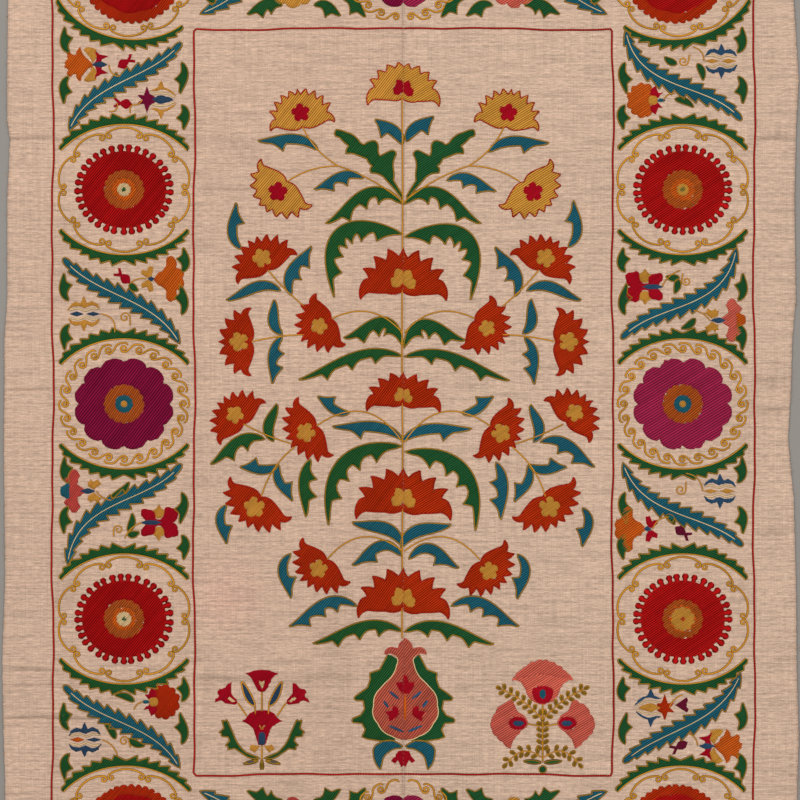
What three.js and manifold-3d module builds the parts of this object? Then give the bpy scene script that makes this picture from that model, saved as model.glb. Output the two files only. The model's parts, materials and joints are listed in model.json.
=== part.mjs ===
// A suzani: two loom-width panels of cotton joined edge to edge down the middle, with
// a flowering tree inside a roundel border, embroidered in silk that stands up from
// the cloth. It lies flat. Millimetres, +Z up, +Y to the top of the design, and the
// origin is the middle of the underside.
//
// The design is laid out from the seam: u runs outward from it on either panel, and
// v runs up from mid length. One row of a table therefore serves both panels, and
// its drift columns say how far the right-hand copy was worked off the left one.
import * as THREE from 'three';
import { mergeVertices } from 'three/addons/utils/BufferGeometryUtils.js';
import Module from 'manifold-3d';

// The cloth.
const LENGTH = 1550;
const HALF_LENGTH = LENGTH / 2;
const SEAM_X = 4;
const SEAM_GAP = 0.3;
const CLOTH_THICKNESS = 1.4;
const HEM_DEPTH = 14;
const HEM_RISE = 0.4;
const HEM_SLOPE = 1;

// The embroidery: its height over the cloth, and where it is rooted inside the cloth.
const STITCH_RISE = 0.8;
const STITCH_ROOT = 0.6;
const LINE_WIDTH = 4;

// The border's two frame lines, from the seam and from mid length. They run a little
// past the seam, so that each panel's half ends on it.
const INNER_FRAME = { u: 293, top: 523, bottom: -521 };
const OUTER_FRAME = { u: 491, top: 720, bottom: -716 };
const PAST_SEAM = 10;

// The roundels down each side, and what lies round each one.
const ROUNDEL_U = 391;
const ROUNDEL_RX = 68;
const ROUNDEL_RY = 63;
const ROSETTE_R = 69;
const END_ROSETTES_V = [621, -617];
const CRESCENT_R = 91;
const CRESCENT_WIDTH = 16;
const CRESCENT_SPREAD = 60;
const CRESCENT_TEETH = 8;

// The cells between the roundels: the leaf across each one rises towards the seam in
// one cell and falls in the next.
const CELLS_V = [450, 149, -152, -452];
const CELL_HALF = 80;
const CELL_LIFT = 56;
const CELL_LEAF = { width: 24, teeth: 6 };
const END_CELL = { fromU: 285, fromV: 544, toU: 105, toV: 690 };

const COLOURS = { panel_left: 0xc7a68f, panel_right: 0xcbad98 };

const LEFT = -1;
const RIGHT = 1;
const radians = THREE.MathUtils.degToRad;
const point = (u, v) => new THREE.Vector2(u, v);
const rowsOf = (columns, rows) =>
  rows.map((row) => Object.fromEntries(columns.map((name, i) => [name, row[i]])));

// Each selvedge, as its distance from the middle line of the whole cloth.
const SELVEDGES = rowsOf(['v', 'left', 'right'], [
  [HALF_LENGTH, 550, 553],
  [564, 550, 551],
  [452, 551, 558],
  [396, 551, 555],
  [368, 547, 554],
  [284, 551, 552],
  [144, 551, 554],
  [88, 555, 549],
  [19, 555, 547],
  [-52, 556, 543],
  [-136, 555, 551],
  [-248, 554, 554],
  [-360, 558, 555],
  [-472, 556, 558],
  [-528, 554, 556],
  [-HALF_LENGTH, 555, 554],
]);

// Old fold lines, pressed across the cloth as soft troughs between two u values. One
// that runs past the last column of the cloth's grid goes on to the selvedge.
const CREASE_FADE = 8;
const LAST_COLUMN = 530;
const CREASES = rowsOf(['side', 'v', 'from', 'to', 'depth', 'half'], [
  [LEFT, 370, 495, 550, 0.5, 5],
  [LEFT, 298, 215, 285, 0.3, 4],
  [LEFT, 19, 495, 553, 0.6, 5],
  [LEFT, -374, 488, 553, 0.5, 5],
  [LEFT, -387, 225, 290, 0.4, 5],
  [LEFT, -442, 488, 553, 0.6, 5],
  [RIGHT, 369, 492, 545, 0.5, 6],
  [RIGHT, 33, 488, 535, 0.4, 8],
  [RIGHT, -10, 488, 535, 0.4, 8],
  [RIGHT, -358, 520, 545, 0.5, 6],
]);

// Half-carnations of the tree: a toothed fan over a calyx at (u, v), turned out from
// upright by the angle in degrees. Those on the seam have u = 0.
const FANS = rowsOf(['u', 'v', 'turn', 'half', 'height', 'teeth', 'du', 'dv'], [
  [0, 426, 0, 50, 50, 8, 0, 0],
  [141, 386, 8, 45, 52, 9, 3, 0],
  [163, 309, 138, 48, 50, 8, 6, 0],
  [0, 156, 0, 60, 60, 7, 0, 0],
  [190, 186, 26, 46, 48, 8, 1, 0],
  [101, 117, 120, 41, 52, 8, -1, -3],
  [213, 85, 90, 47, 45, 7, 1, 0],
  [0, -2, 0, 51, 44, 7, 0, 0],
  [224, -30, 43, 43, 46, 8, 4, 3],
  [122, -33, 121, 47, 45, 8, 0, -1],
  [0, -150, 0, 66, 58, 7, 0, 0],
  [199, -132, 147, 51, 46, 8, -4, 0],
  [107, -220, 137, 45, 46, 8, 1, -3],
  [0, -289, 0, 63, 57, 7, 0, 0],
]);

// Leaves of the tree, from base to tip. The midrib bows to the left of its way from
// base to tip where bow is more than 0, and the spurs stand on the hollow side.
const LEAF_COLUMNS = ['baseU', 'baseV', 'tipU', 'tipV', 'bow', 'width', 'spurs', 'du', 'dv'];
const LEAVES = rowsOf(LEAF_COLUMNS, [
  [2, 361, 40, 396, 4, 18, 1, 3, 4],
  [5, 288, 93, 381, 0, 34, 2, 8, 0],
  [124, 358, 204, 366, 8, 16, 1, 0, -3],
  [49, 316, 125, 298, 10, 14, 2, 5, -3],
  [0, 277, 109, 250, 22, 18, 3, 0, 0],
  [0, 235, 96, 147, 58, 21, 6, -3, -4],
  [226, 215, 234, 280, -8, 15, 1, 4, 3],
  [156, 150, 128, 219, -10, 17, 2, 0, -1],
  [172, 156, 248, 143, 10, 14, 1, 1, 0],
  [169, 96, 181, 144, -7, 14, 1, -2, 1],
  [169, 92, 183, 26, 6, 14, 2, 0, -1],
  [0, 79, 84, 90, 24, 18, 3, 3, -3],
  [0, 64, 147, 31, 12, 15, 2, 2, -1],
  [38, -17, 116, 6, 6, 15, 1, 6, 0],
  [2, -52, 100, -34, 8, 17, 1, -4, -3],
  [0, -62, 104, -172, 42, 22, 4, -4, -8],
  [181, -54, 177, -2, -8, 14, 0, 1, -1],
  [194, -52, 270, -87, 10, 17, 2, -2, -4],
  [176, -87, 229, -90, -4, 15, 1, 0, 0],
  [174, -87, 155, -138, 6, 14, 1, 0, -1],
  [129, -80, 136, -160, 5, 17, 2, 0, -4],
  [247, -144, 247, -198, 7, 14, 1, 3, -4],
  [2, -200, 72, -168, 10, 17, 1, -5, -3],
  [2, -216, 72, -228, 16, 17, 2, 6, -4],
  [157, -212, 157, -274, 9, 15, 1, 2, -1],
  [65, -286, 160, -314, 14, 16, 3, 2, 0],
  [0, -321, 127, -338, 12, 16, 3, 0, -1],
]);

// Stems, each one bowed line.
const STEMS = rowsOf(['fromU', 'fromV', 'toU', 'toV', 'bow'], [
  [0, -330, 0, 426, 0],
  [0, 281, 141, 386, -14],
  [96, 330, 163, 309, 6],
  [0, 97, 101, 117, 20],
  [139, 135, 190, 186, -2],
  [139, 95, 213, 85, 2],
  [0, -56, 122, -33, 32],
  [152, -62, 199, -132, 7],
  [168, -57, 224, -30, 0],
  [0, -208, 107, -220, 26],
]);

// Small flowers of the border cells, as lobed heads.
const CELL_FLOWERS = rowsOf(['side', 'u', 'v', 'radius', 'lobes'], [
  [LEFT, 459, 473, 26, 6],
  [LEFT, 354, 426, 24, 5],
  [LEFT, 331, 173, 24, 4],
  [LEFT, 448, 124, 24, 5],
  [LEFT, 463, -122, 24, 5],
  [LEFT, 342, -167, 24, 4],
  [LEFT, 338, -418, 26, 7],
  [LEFT, 446, -471, 24, 5],
  [RIGHT, 448, 478, 24, 5],
  [RIGHT, 338, 425, 25, 7],
  [RIGHT, 338, 162, 24, 4],
  [RIGHT, 460, 117, 24, 5],
  [RIGHT, 442, -124, 24, 5],
  [RIGHT, 327, -177, 26, 4],
  [RIGHT, 337, -429, 24, 5],
  [RIGHT, 451, -478, 26, 7],
]);

// Flowers of the end borders, the same on both panels.
const END_FLOWERS = rowsOf(['u', 'v', 'radius', 'lobes', 'hollow'], [
  [155, 590, 38, 8, 0.85],
  [245, 660, 30, 6, 0.6],
  [155, -590, 38, 8, 0.85],
  [245, -660, 30, 6, 0.6],
]);

// The small plants at the foot: bell flowers on the left, bigger and rounder ones on
// the right.
const PLANT_BELLS = rowsOf(['side', 'u', 'v', 'turn', 'half', 'height'], [
  [LEFT, 197, -404, 0, 18, 25],
  [LEFT, 236, -424, 50, 16, 25],
  [LEFT, 162, -425, -50, 16, 25],
  [LEFT, 198, -479, 0, 26, 46],
  [RIGHT, 195, -422, 0, 43, 60],
  [RIGHT, 166, -452, -90, 32, 48],
  [RIGHT, 224, -454, 90, 32, 48],
]);
const PLANT_LEAVES = rowsOf(['side', ...LEAF_COLUMNS], [
  [LEFT, 200, -501, 255, -440, -14, 15, -2, 0, 0],
  [LEFT, 196, -501, 138, -440, 14, 15, -2, 0, 0],
]);

// The pomegranate flask on the seam: its round body, the half outline of its neck from
// the tip down, the toothed mantle behind it, and the leaf that hangs on each side.
const FLASK = { v: -428, rx: 44, ry: 46, points: 14 };
const FLASK_NECK = rowsOf(['u', 'v'], [
  [0, -329],
  [8, -340],
  [24, -352],
  [8, -354],
  [7, -366],
  [26, -400],
]);
const MANTLE = { rx: 72, ry: 58, teeth: 10, hollow: 0.86 };
const FLASK_LEAF = {
  baseU: 2, baseV: -474, tipU: 31, tipV: -512, bow: 14, width: 18, spurs: 0,
};

// The roundels from the top: hollow is how far in the edge swings between its lobes.
const ROUNDELS = rowsOf(['v', 'rx', 'ry', 'lobes', 'hollow'], [
  [600, ROUNDEL_RX, ROUNDEL_RY, 14, 0.95],
  [298, ROUNDEL_RX, ROUNDEL_RY, 30, 0.88],
  [-2, ROSETTE_R, ROSETTE_R, 12, 0.9],
  [-303, ROUNDEL_RX, ROUNDEL_RY, 30, 0.88],
  [-600, ROUNDEL_RX, ROUNDEL_RY, 14, 0.95],
]);

// Outlines, in u and v.

// Points of the bowed line from a to b: a parabola whose middle stands bow to the
// left of the straight line.
function bowedLine(a, b, bow, steps) {
  const along = b.clone().sub(a);
  const left = point(-along.y, along.x).normalize();
  return Array.from({ length: steps + 1 }, (_, i) => {
    const t = i / steps;
    return a.clone().addScaledVector(along, t).addScaledVector(left, 4 * bow * t * (1 - t));
  });
}

// The normal, to the left of travel, at each point of a line.
function normalsOf(line) {
  return line.map((_, i) => {
    const ahead = line[Math.min(i + 1, line.length - 1)];
    const behind = line[Math.max(i - 1, 0)];
    return point(behind.y - ahead.y, ahead.x - behind.x).normalize();
  });
}

// A band of one width along a line.
function band(line, width) {
  const normals = normalsOf(line);
  const outer = line.map((p, i) => p.clone().addScaledVector(normals[i], width / 2));
  const inner = line.map((p, i) => p.clone().addScaledVector(normals[i], -width / 2));
  return [...outer, ...inner.reverse()];
}

// A leaf: half its width on both sides of the midrib, swelling as a sine, with a spur
// at every other step of the hollow side, or of the full side where spurs is below 0.
function leaf({ baseU, baseV, tipU, tipV, bow, width, spurs }) {
  const steps = Math.max(4, 2 * Math.abs(spurs) + 2);
  const spine = bowedLine(point(baseU, baseV), point(tipU, tipV), bow, steps);
  const normals = normalsOf(spine);
  const plain = (bow < 0 ? -1 : 1) * (spurs < 0 ? -1 : 1);
  const swell = (t) => (width / 2) * Math.sin(Math.PI * Math.pow(t, 0.8)) + 1;
  const smooth = [];
  const spurred = [];
  spine.forEach((p, i) => {
    const t = i / steps;
    const isSpur = i % 2 === 0 && i > 0 && i <= 2 * Math.abs(spurs);
    const reach = swell(t) * (isSpur ? 1.5 : 0.75);
    if (i % 2 === 0) smooth.push(p.clone().addScaledVector(normals[i], plain * swell(t)));
    spurred.push(p.clone().addScaledVector(normals[i], -plain * reach));
  });
  return [...smooth, ...spurred.reverse()];
}

// A leaf across a border cell: straight, with teeth on both sides.
function cellLeaf(base, tip) {
  const steps = 2 * CELL_LEAF.teeth;
  const spine = bowedLine(base, tip, 0, steps);
  const normals = normalsOf(spine);
  const side = (sign) =>
    spine.map((p, i) => {
      const swell = (CELL_LEAF.width / 2) * Math.sin(Math.PI * Math.pow(i / steps, 0.7)) + 1;
      return p.clone().addScaledVector(normals[i], sign * swell * (i % 2 ? 1.25 : 0.8));
    });
  return [...side(1), ...side(-1).reverse().slice(1, -1)];
}

// Points of a motif drawn round its own foot, set at (u, v) and turned outwards.
function placed(points, u, v, turn) {
  const angle = radians(turn);
  const across = point(Math.cos(angle), -Math.sin(angle));
  const ahead = point(Math.sin(angle), Math.cos(angle));
  return points.map((p) =>
    point(u, v).addScaledVector(across, p.x).addScaledVector(ahead, p.y),
  );
}

// A half-carnation: teeth stand on a half ellipse, the two side points droop, and
// the lower edge runs back to the calyx.
function fan({ u, v, turn, half, height, teeth }) {
  const spread = radians(64);
  const valley = 0.8;
  const crown = [];
  for (let i = 0; i < teeth; i += 1) {
    const tip = spread * ((2 * i) / (teeth - 1) - 1);
    const notch = tip + spread / (teeth - 1);
    crown.push(point(half * Math.sin(tip), height * Math.cos(tip)));
    if (i < teeth - 1) {
      crown.push(point(valley * half * Math.sin(notch), valley * height * Math.cos(notch)));
    }
  }
  const right = [
    point(0.84 * half, 0.2 * height),
    point(half, -0.16 * half),
    point(0.6 * half, -0.02 * half),
  ];
  const left = right.map((p) => point(-p.x, p.y)).reverse();
  return placed([...crown, ...right, ...left], u, v, turn);
}

// A closed outline of two points a lobe: one on the ellipse, and one drawn in to the
// hollow fraction of it. A hollow of 1 is a plain ellipse.
function lobed({ u, v, rx, ry, lobes, hollow }) {
  return Array.from({ length: 2 * lobes }, (_, i) => {
    const angle = (Math.PI * i) / lobes;
    const reach = i % 2 ? hollow : 1;
    return point(u + rx * reach * Math.sin(angle), v + ry * reach * Math.cos(angle));
  });
}

// A crescent round a roundel's centre: a plain inner arc and a toothed outer one,
// thinning out at both ends. It faces up where sign is 1 and down where it is -1.
function crescent(v, sign) {
  const spread = radians(CRESCENT_SPREAD);
  const steps = 2 * CRESCENT_TEETH;
  const arcSteps = 6;
  const at = (radius, angle) =>
    point(ROUNDEL_U + radius * Math.sin(angle), v + sign * radius * Math.cos(angle));
  const outer = Array.from({ length: steps - 1 }, (_, i) => {
    const t = (i + 1) / steps;
    const swell = CRESCENT_WIDTH * Math.sqrt(Math.sin(Math.PI * t));
    return at(CRESCENT_R + swell * (i % 2 ? 0.6 : 1), spread * (2 * t - 1));
  });
  const inner = Array.from({ length: arcSteps + 1 }, (_, i) =>
    at(CRESCENT_R, spread * (1 - (2 * i) / arcSteps)),
  );
  return [...outer, ...inner];
}

// The flask's parts, as outlines that cross the seam.
function flask() {
  const right = FLASK_NECK.map(({ u, v }) => point(u, v));
  const left = FLASK_NECK.slice(1).reverse().map(({ u, v }) => point(-u, v));
  const { v, rx, ry, points } = FLASK;
  return [
    lobed({ u: 0, v, rx, ry, lobes: points / 2, hollow: 1 }),
    lobed({ u: 0, v, rx: MANTLE.rx, ry: MANTLE.ry, lobes: MANTLE.teeth, hollow: MANTLE.hollow }),
    [...right, ...left],
  ];
}

// The bell of a small plant flower: a flared mouth over a point.
function bell({ u, v, turn, half, height }) {
  const outline = [
    point(0, 0),
    point(0.35 * half, 0.45 * height),
    point(half, height * 0.85),
    point(0, height),
    point(-half, height * 0.85),
    point(-0.35 * half, 0.45 * height),
  ];
  return placed(outline, u, v, turn);
}

// Every embroidered outline on one panel. The right-hand panel's copies are moved by
// their drift.
function embroidery(side) {
  const drift = side === RIGHT ? 1 : 0;
  const here = (row) => row.side === side;
  const moved = (row) => ({ ...row, u: row.u + drift * row.du, v: row.v + drift * row.dv });
  const movedLeaf = (row) => ({
    ...row,
    baseU: row.baseU + drift * row.du,
    baseV: row.baseV + drift * row.dv,
    tipU: row.tipU + drift * row.du,
    tipV: row.tipV + drift * row.dv,
  });
  const stem = ({ fromU, fromV, toU, toV, bow }) => {
    const steps = Math.abs(bow) < 3 ? 1 : 4;
    return band(bowedLine(point(fromU, fromV), point(toU, toV), bow, steps), LINE_WIDTH);
  };
  const flower = (row) => lobed({ ...row, rx: row.radius, ry: row.radius });
  const frame = ({ u, top, bottom }) => [
    band([point(-PAST_SEAM, top), point(u, top)], LINE_WIDTH),
    band([point(u, top), point(u, bottom)], LINE_WIDTH),
    band([point(-PAST_SEAM, bottom), point(u, bottom)], LINE_WIDTH),
  ];

  return [
    ...FANS.map((row) => fan(moved(row))),
    ...LEAVES.map((row) => leaf(movedLeaf(row))),
    ...STEMS.map(stem),
    ...flask(),
    leaf(FLASK_LEAF),
    ...PLANT_BELLS.filter(here).map(bell),
    ...PLANT_LEAVES.filter(here).map(leaf),
    ...ROUNDELS.map((row) => lobed({ ...row, u: ROUNDEL_U })),
    ...ROUNDELS.flatMap(({ v }) => [crescent(v, 1), crescent(v, -1)]),
    ...END_ROSETTES_V.map((v) => lobed({ ...ROUNDELS[2], u: 0, v })),
    ...CELL_FLOWERS.filter(here).map((row) => flower({ ...row, hollow: 0.6 })),
    ...END_FLOWERS.map(flower),
    ...CELLS_V.map((v, i) => {
      const lift = i % 2 === 0 ? CELL_LIFT : -CELL_LIFT;
      return cellLeaf(
        point(ROUNDEL_U + CELL_HALF, v - lift),
        point(ROUNDEL_U - CELL_HALF, v + lift),
      );
    }),
    ...[1, -1].map((end) => cellLeaf(
      point(END_CELL.fromU, end * END_CELL.fromV),
      point(END_CELL.toU, end * END_CELL.toV),
    )),
    ...frame(INNER_FRAME),
    ...frame(OUTER_FRAME),
  ];
}

// Solids.

const wasm = await Module();
wasm.setup();

function toManifold(geometry) {
  const bare = geometry.index ? geometry.toNonIndexed() : geometry.clone();
  bare.deleteAttribute('normal');
  bare.deleteAttribute('uv');
  const merged = mergeVertices(bare, 1e-4);
  return new wasm.Manifold(new wasm.Mesh({
    numProp: 3,
    vertProperties: merged.getAttribute('position').array,
    triVerts: new Uint32Array(merged.index.array),
  }));
}

function toGeometry(manifold) {
  const mesh = manifold.getMesh();
  const geometry = new THREE.BufferGeometry();
  geometry.setAttribute('position', new THREE.BufferAttribute(mesh.vertProperties, 3));
  geometry.setIndex(new THREE.BufferAttribute(mesh.triVerts, 1));
  geometry.computeVertexNormals();
  return geometry;
}

// One motif as a plate rooted in the cloth and standing STITCH_RISE above it.
function plate(outline, side) {
  const shape = new THREE.Shape(outline.map((p) => point(SEAM_X + side * p.x, p.y)));
  const top = CLOTH_THICKNESS + STITCH_RISE;
  const geometry = new THREE.ExtrudeGeometry(shape, {
    depth: top - STITCH_ROOT,
    bevelEnabled: false,
  });
  geometry.translate(0, 0, STITCH_ROOT);
  return toManifold(geometry);
}

// The width of a panel at a height v, straight between the rows of the table.
function selvedge(side, v) {
  const name = side === LEFT ? 'left' : 'right';
  const below = SELVEDGES.findIndex((row) => row.v <= v);
  const low = SELVEDGES[below];
  const high = SELVEDGES[Math.max(below - 1, 0)];
  const t = high.v === low.v ? 0 : (v - low.v) / (high.v - low.v);
  return THREE.MathUtils.lerp(low[name], high[name], t) - side * SEAM_X;
}

// The height of the cloth's upper face: its thickness, a hem at each end, and the
// bottom of a trough on each crease. The faces of the grid slope up from there.
function upperFace(side, u, v) {
  let z = CLOTH_THICKNESS;
  if (Math.abs(v) > HALF_LENGTH - HEM_DEPTH) z += HEM_RISE;
  CREASES.filter((row) => row.side === side).forEach((row) => {
    const isAcross = u >= row.from && u <= row.to;
    if (isAcross && Math.abs(v - row.v) < row.half) z -= row.depth;
  });
  return z;
}

// The plain cloth of one panel: a grid of rows across and columns along, whose upper
// face is uneven and whose underside is flat.
function cloth(side) {
  const creases = CREASES.filter((row) => row.side === side);
  const hem = HALF_LENGTH - HEM_DEPTH;
  const heights = [
    ...SELVEDGES.map((row) => row.v),
    ...creases.flatMap((row) => [row.v - row.half, row.v, row.v + row.half]),
    hem, hem + HEM_SLOPE, -hem, -hem - HEM_SLOPE,
  ];
  const rows = [...new Set(heights)].sort((a, b) => a - b);
  const stops = creases.flatMap((row) => [row.from - CREASE_FADE, row.from, row.to]);
  const columns = [...new Set(stops)].filter((u) => u < LAST_COLUMN).sort((a, b) => a - b);
  const inner = SEAM_GAP / 2;
  const across = (v) => [inner, ...columns, selvedge(side, v)];

  const count = columns.length + 2;
  const position = [];
  [true, false].forEach((isTop) => rows.forEach((v) => across(v).forEach((u) => {
    const z = isTop ? upperFace(side, u, v) : 0;
    position.push(SEAM_X + side * u, v, z);
  })));

  const index = [];
  const quad = (a, b, c, d) => {
    if (side === RIGHT) index.push(a, b, c, a, c, d);
    else index.push(a, c, b, a, d, c);
  };
  const top = (i, j) => i * count + j;
  const under = (i, j) => rows.length * count + i * count + j;
  for (let i = 0; i < rows.length - 1; i += 1) {
    for (let j = 0; j < count - 1; j += 1) {
      quad(top(i, j), top(i, j + 1), top(i + 1, j + 1), top(i + 1, j));
      quad(under(i, j), under(i + 1, j), under(i + 1, j + 1), under(i, j + 1));
    }
    quad(top(i, 0), top(i + 1, 0), under(i + 1, 0), under(i, 0));
    quad(top(i, count - 1), under(i, count - 1), under(i + 1, count - 1), top(i + 1, count - 1));
  }
  for (let j = 0; j < count - 1; j += 1) {
    const last = rows.length - 1;
    quad(top(0, j), under(0, j), under(0, j + 1), top(0, j + 1));
    quad(top(last, j), top(last, j + 1), under(last, j + 1), under(last, j));
  }
  const geometry = new THREE.BufferGeometry();
  geometry.setAttribute('position', new THREE.Float32BufferAttribute(position, 3));
  geometry.setIndex(index);
  return toManifold(geometry);
}

// The side of the seam that a panel may fill, as a block.
function panelSide(side) {
  const width = HALF_LENGTH;
  const block = new THREE.BoxGeometry(width, LENGTH, 10 * CLOTH_THICKNESS);
  block.translate(SEAM_X + side * (width / 2 + SEAM_GAP / 2), 0, 0);
  return toManifold(block);
}

function panel(name, side) {
  const stitches = embroidery(side)
    .map((outline) => plate(outline, side))
    .reduce((all, next) => all.add(next));
  const solid = cloth(side).add(stitches.intersect(panelSide(side)));
  const material = new THREE.MeshStandardMaterial({
    color: COLOURS[name],
    roughness: 0.95,
    metalness: 0,
  });
  const mesh = new THREE.Mesh(toGeometry(solid), material);
  mesh.name = name;
  return mesh;
}

const suzani = new THREE.Group();
suzani.add(panel('panel_left', LEFT));
suzani.add(panel('panel_right', RIGHT));

export default suzani;
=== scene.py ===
"""The looks of the suzani: two joined cotton panels, embroidered in silk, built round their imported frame.

The cloth is a thin sheet on each panel's solid. The embroidery is worked stitch by stitch: rows of laid
thread fill each motif, and chain stitch runs along its outline. The design is laid out in millimetres as
complex numbers: the real part u runs outward from the seam on either panel, and the imaginary part v
runs up from mid length. The world is in metres, in the frame of the solids.
"""

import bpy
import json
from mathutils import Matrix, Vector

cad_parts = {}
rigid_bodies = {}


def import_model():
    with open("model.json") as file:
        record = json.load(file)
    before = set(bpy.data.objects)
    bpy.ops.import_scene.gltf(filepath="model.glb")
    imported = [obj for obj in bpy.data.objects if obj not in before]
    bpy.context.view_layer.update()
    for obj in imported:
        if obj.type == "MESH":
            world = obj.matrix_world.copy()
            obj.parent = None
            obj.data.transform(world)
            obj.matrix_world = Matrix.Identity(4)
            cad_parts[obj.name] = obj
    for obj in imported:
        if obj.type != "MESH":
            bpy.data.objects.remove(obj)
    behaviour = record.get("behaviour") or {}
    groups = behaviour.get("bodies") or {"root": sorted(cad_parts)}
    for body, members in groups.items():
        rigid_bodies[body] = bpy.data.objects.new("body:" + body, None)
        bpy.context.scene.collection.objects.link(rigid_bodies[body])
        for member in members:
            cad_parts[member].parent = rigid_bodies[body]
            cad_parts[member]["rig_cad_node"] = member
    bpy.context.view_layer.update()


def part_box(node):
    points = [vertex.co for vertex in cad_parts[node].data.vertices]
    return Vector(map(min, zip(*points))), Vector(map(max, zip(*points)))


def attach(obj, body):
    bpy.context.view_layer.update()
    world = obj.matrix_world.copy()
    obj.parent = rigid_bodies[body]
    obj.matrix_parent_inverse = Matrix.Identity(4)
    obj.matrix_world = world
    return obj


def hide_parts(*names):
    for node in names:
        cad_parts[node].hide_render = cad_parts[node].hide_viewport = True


bl_info = {
    "name": "Suzani embroidered textile",
    "version": (1, 0, 0),
    "blender": (4, 5, 0),
    "location": "3D View > Sidebar > Suzani",
    "description": "Two joined cotton panels embroidered in silk with a flowering tree",
    "category": "Object",
}

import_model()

import json
import math

import bpy
import numpy as np
from bpy.props import FloatProperty, FloatVectorProperty, PointerProperty

MM = 0.001
LEFT, RIGHT = -1, 1
PANEL = {LEFT: "left", RIGHT: "right"}

# Places taken from the solids, in millimetres.
LEFT_BOX = [np.array(corner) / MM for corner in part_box("panel_left")]
RIGHT_BOX = [np.array(corner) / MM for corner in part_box("panel_right")]
SEAM_X = (LEFT_BOX[1][0] + RIGHT_BOX[0][0]) / 2
SEAM_GAP = RIGHT_BOX[0][0] - LEFT_BOX[1][0]
HALF_LENGTH = RIGHT_BOX[1][1]

# The cloth.
CLOTH_THICKNESS = 1.4
HEM_DEPTH = 14.0
HEM_RISE = 0.4
COLUMNS = 96  # of quads across one sheet
ROW_STEP = 6.0  # between its rows of quads
WARP_PITCH, WEFT_PITCH = 1.15, 1.3
STAIN = (-246, -272)  # x and y of the pale stain

# The photograph's frame: 800 pixels wide, 1.4 mm to the pixel, with its middle near the cloth's.
PHOTO_WIDTH = 1120.0
PHOTO_MIDDLE = (-0.7, 3.5)
LENS_MM = 85.0
SENSOR_MM = 36.0

# The design.
INNER_FRAME = {"u": 293, "top": 523, "bottom": -521}
OUTER_FRAME = {"u": 491, "top": 720, "bottom": -716}
ROUNDEL_U = 391.0
ROSETTE_R = 69.0
RING_RADII = (29, 28)  # of the orange ring round a roundel's heart
ARC_RING_RADII, ARCS = (94, 87), 10
SPIRALS, SCROLL_OFF = 24, 12.5  # of the scroll, and how far it runs off the rosette's petals
CRESCENT_RX, CRESCENT_RY = 110.0, 91.0
CRESCENT_TEETH, CRESCENT_SPREAD, CRESCENT_DEPTH = 14, 53.0, 15.0
DISC_TEETH = 33
DISC_TOOTH = (0.8, 0.66, 0.68, 0.98, 0.9, 0.5)  # shares of its width, from its root to its round head
LONG_LEAF_WIDTH, LONG_LEAF_TEETH = 27, 12
SMALL_LEAF_WIDTH = 8.5
CELLS_V = (450, 149, -152, -452)
SEAM_STITCH_STEP = 6.5
FRAYS = 170  # loose thread ends at each selvedge
SEED = 7

SELVEDGES = [  # v, then the distance of the left and of the right selvedge from the middle line
    (775, 550, 553), (564, 550, 551), (452, 551, 558), (396, 551, 555), (368, 547, 554), (284, 551, 552),
    (144, 551, 554), (88, 555, 549), (19, 555, 547), (-52, 556, 543), (-136, 555, 551), (-248, 554, 554),
    (-360, 558, 555), (-472, 556, 558), (-528, 554, 556), (-775, 555, 554),
]

CREASES = [  # side, v, from u, to u, depth, half width
    (LEFT, 370, 490, 552, 1.0, 2.6), (LEFT, 367, 110, 480, 0.35, 6), (LEFT, 298, 215, 285, 0.7, 2.0),
    (LEFT, 19, 495, 553, 1.0, 2.2), (LEFT, -374, 488, 553, 0.9, 3), (LEFT, -387, 225, 290, 0.9, 2.6),
    (LEFT, -386, 70, 225, 0.5, 3.4), (LEFT, -394, 430, 553, 0.4, 4), (LEFT, -442, 425, 553, 1.0, 2.2),
    (RIGHT, 369, 492, 545, 0.9, 3), (RIGHT, 33, 488, 535, 0.7, 5), (RIGHT, -10, 488, 535, 0.7, 5),
    (RIGHT, -358, 516, 548, 0.9, 3), (RIGHT, -180, 495, 540, 0.4, 6),
]

PUCKERS = [  # x, y, length, angle in degrees, half width, height
    (-60, 430, 110, 80, 9, 0.7), (-85, 400, 90, 60, 8, 0.5), (-30, 445, 70, 95, 7, 0.5),
    (60, 455, 100, 75, 10, 0.4), (-6, 300, 260, 90, 6, 0.5), (14, 280, 240, 90, 6, 0.5),
    (-5, -300, 240, 90, 6, 0.45), (13, -320, 240, 90, 6, 0.45), (-240, 430, 160, 4, 14, 0.5),
    (250, 470, 150, -5, 16, 0.5), (-525, 250, 120, 88, 12, 0.6), (530, -250, 150, 92, 12, 0.6),
    (520, 200, 60, 10, 12, 0.5), (-520, -200, 70, -8, 12, 0.5), (200, -330, 170, 3, 14, 0.4),
    (-180, -360, 150, -4, 12, 0.5), (0, -540, 200, 2, 16, 0.4), (150, 250, 90, 30, 14, 0.4),
]

RIPPLES = [  # wave length, direction in degrees, height, phase
    (310, 82, 0.30, 0.4), (173, 97, 0.22, 2.1), (97, 76, 0.12, 4.0), (420, 12, 0.25, 1.1),
    (61, 92, 0.07, 0.9),
]

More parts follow.
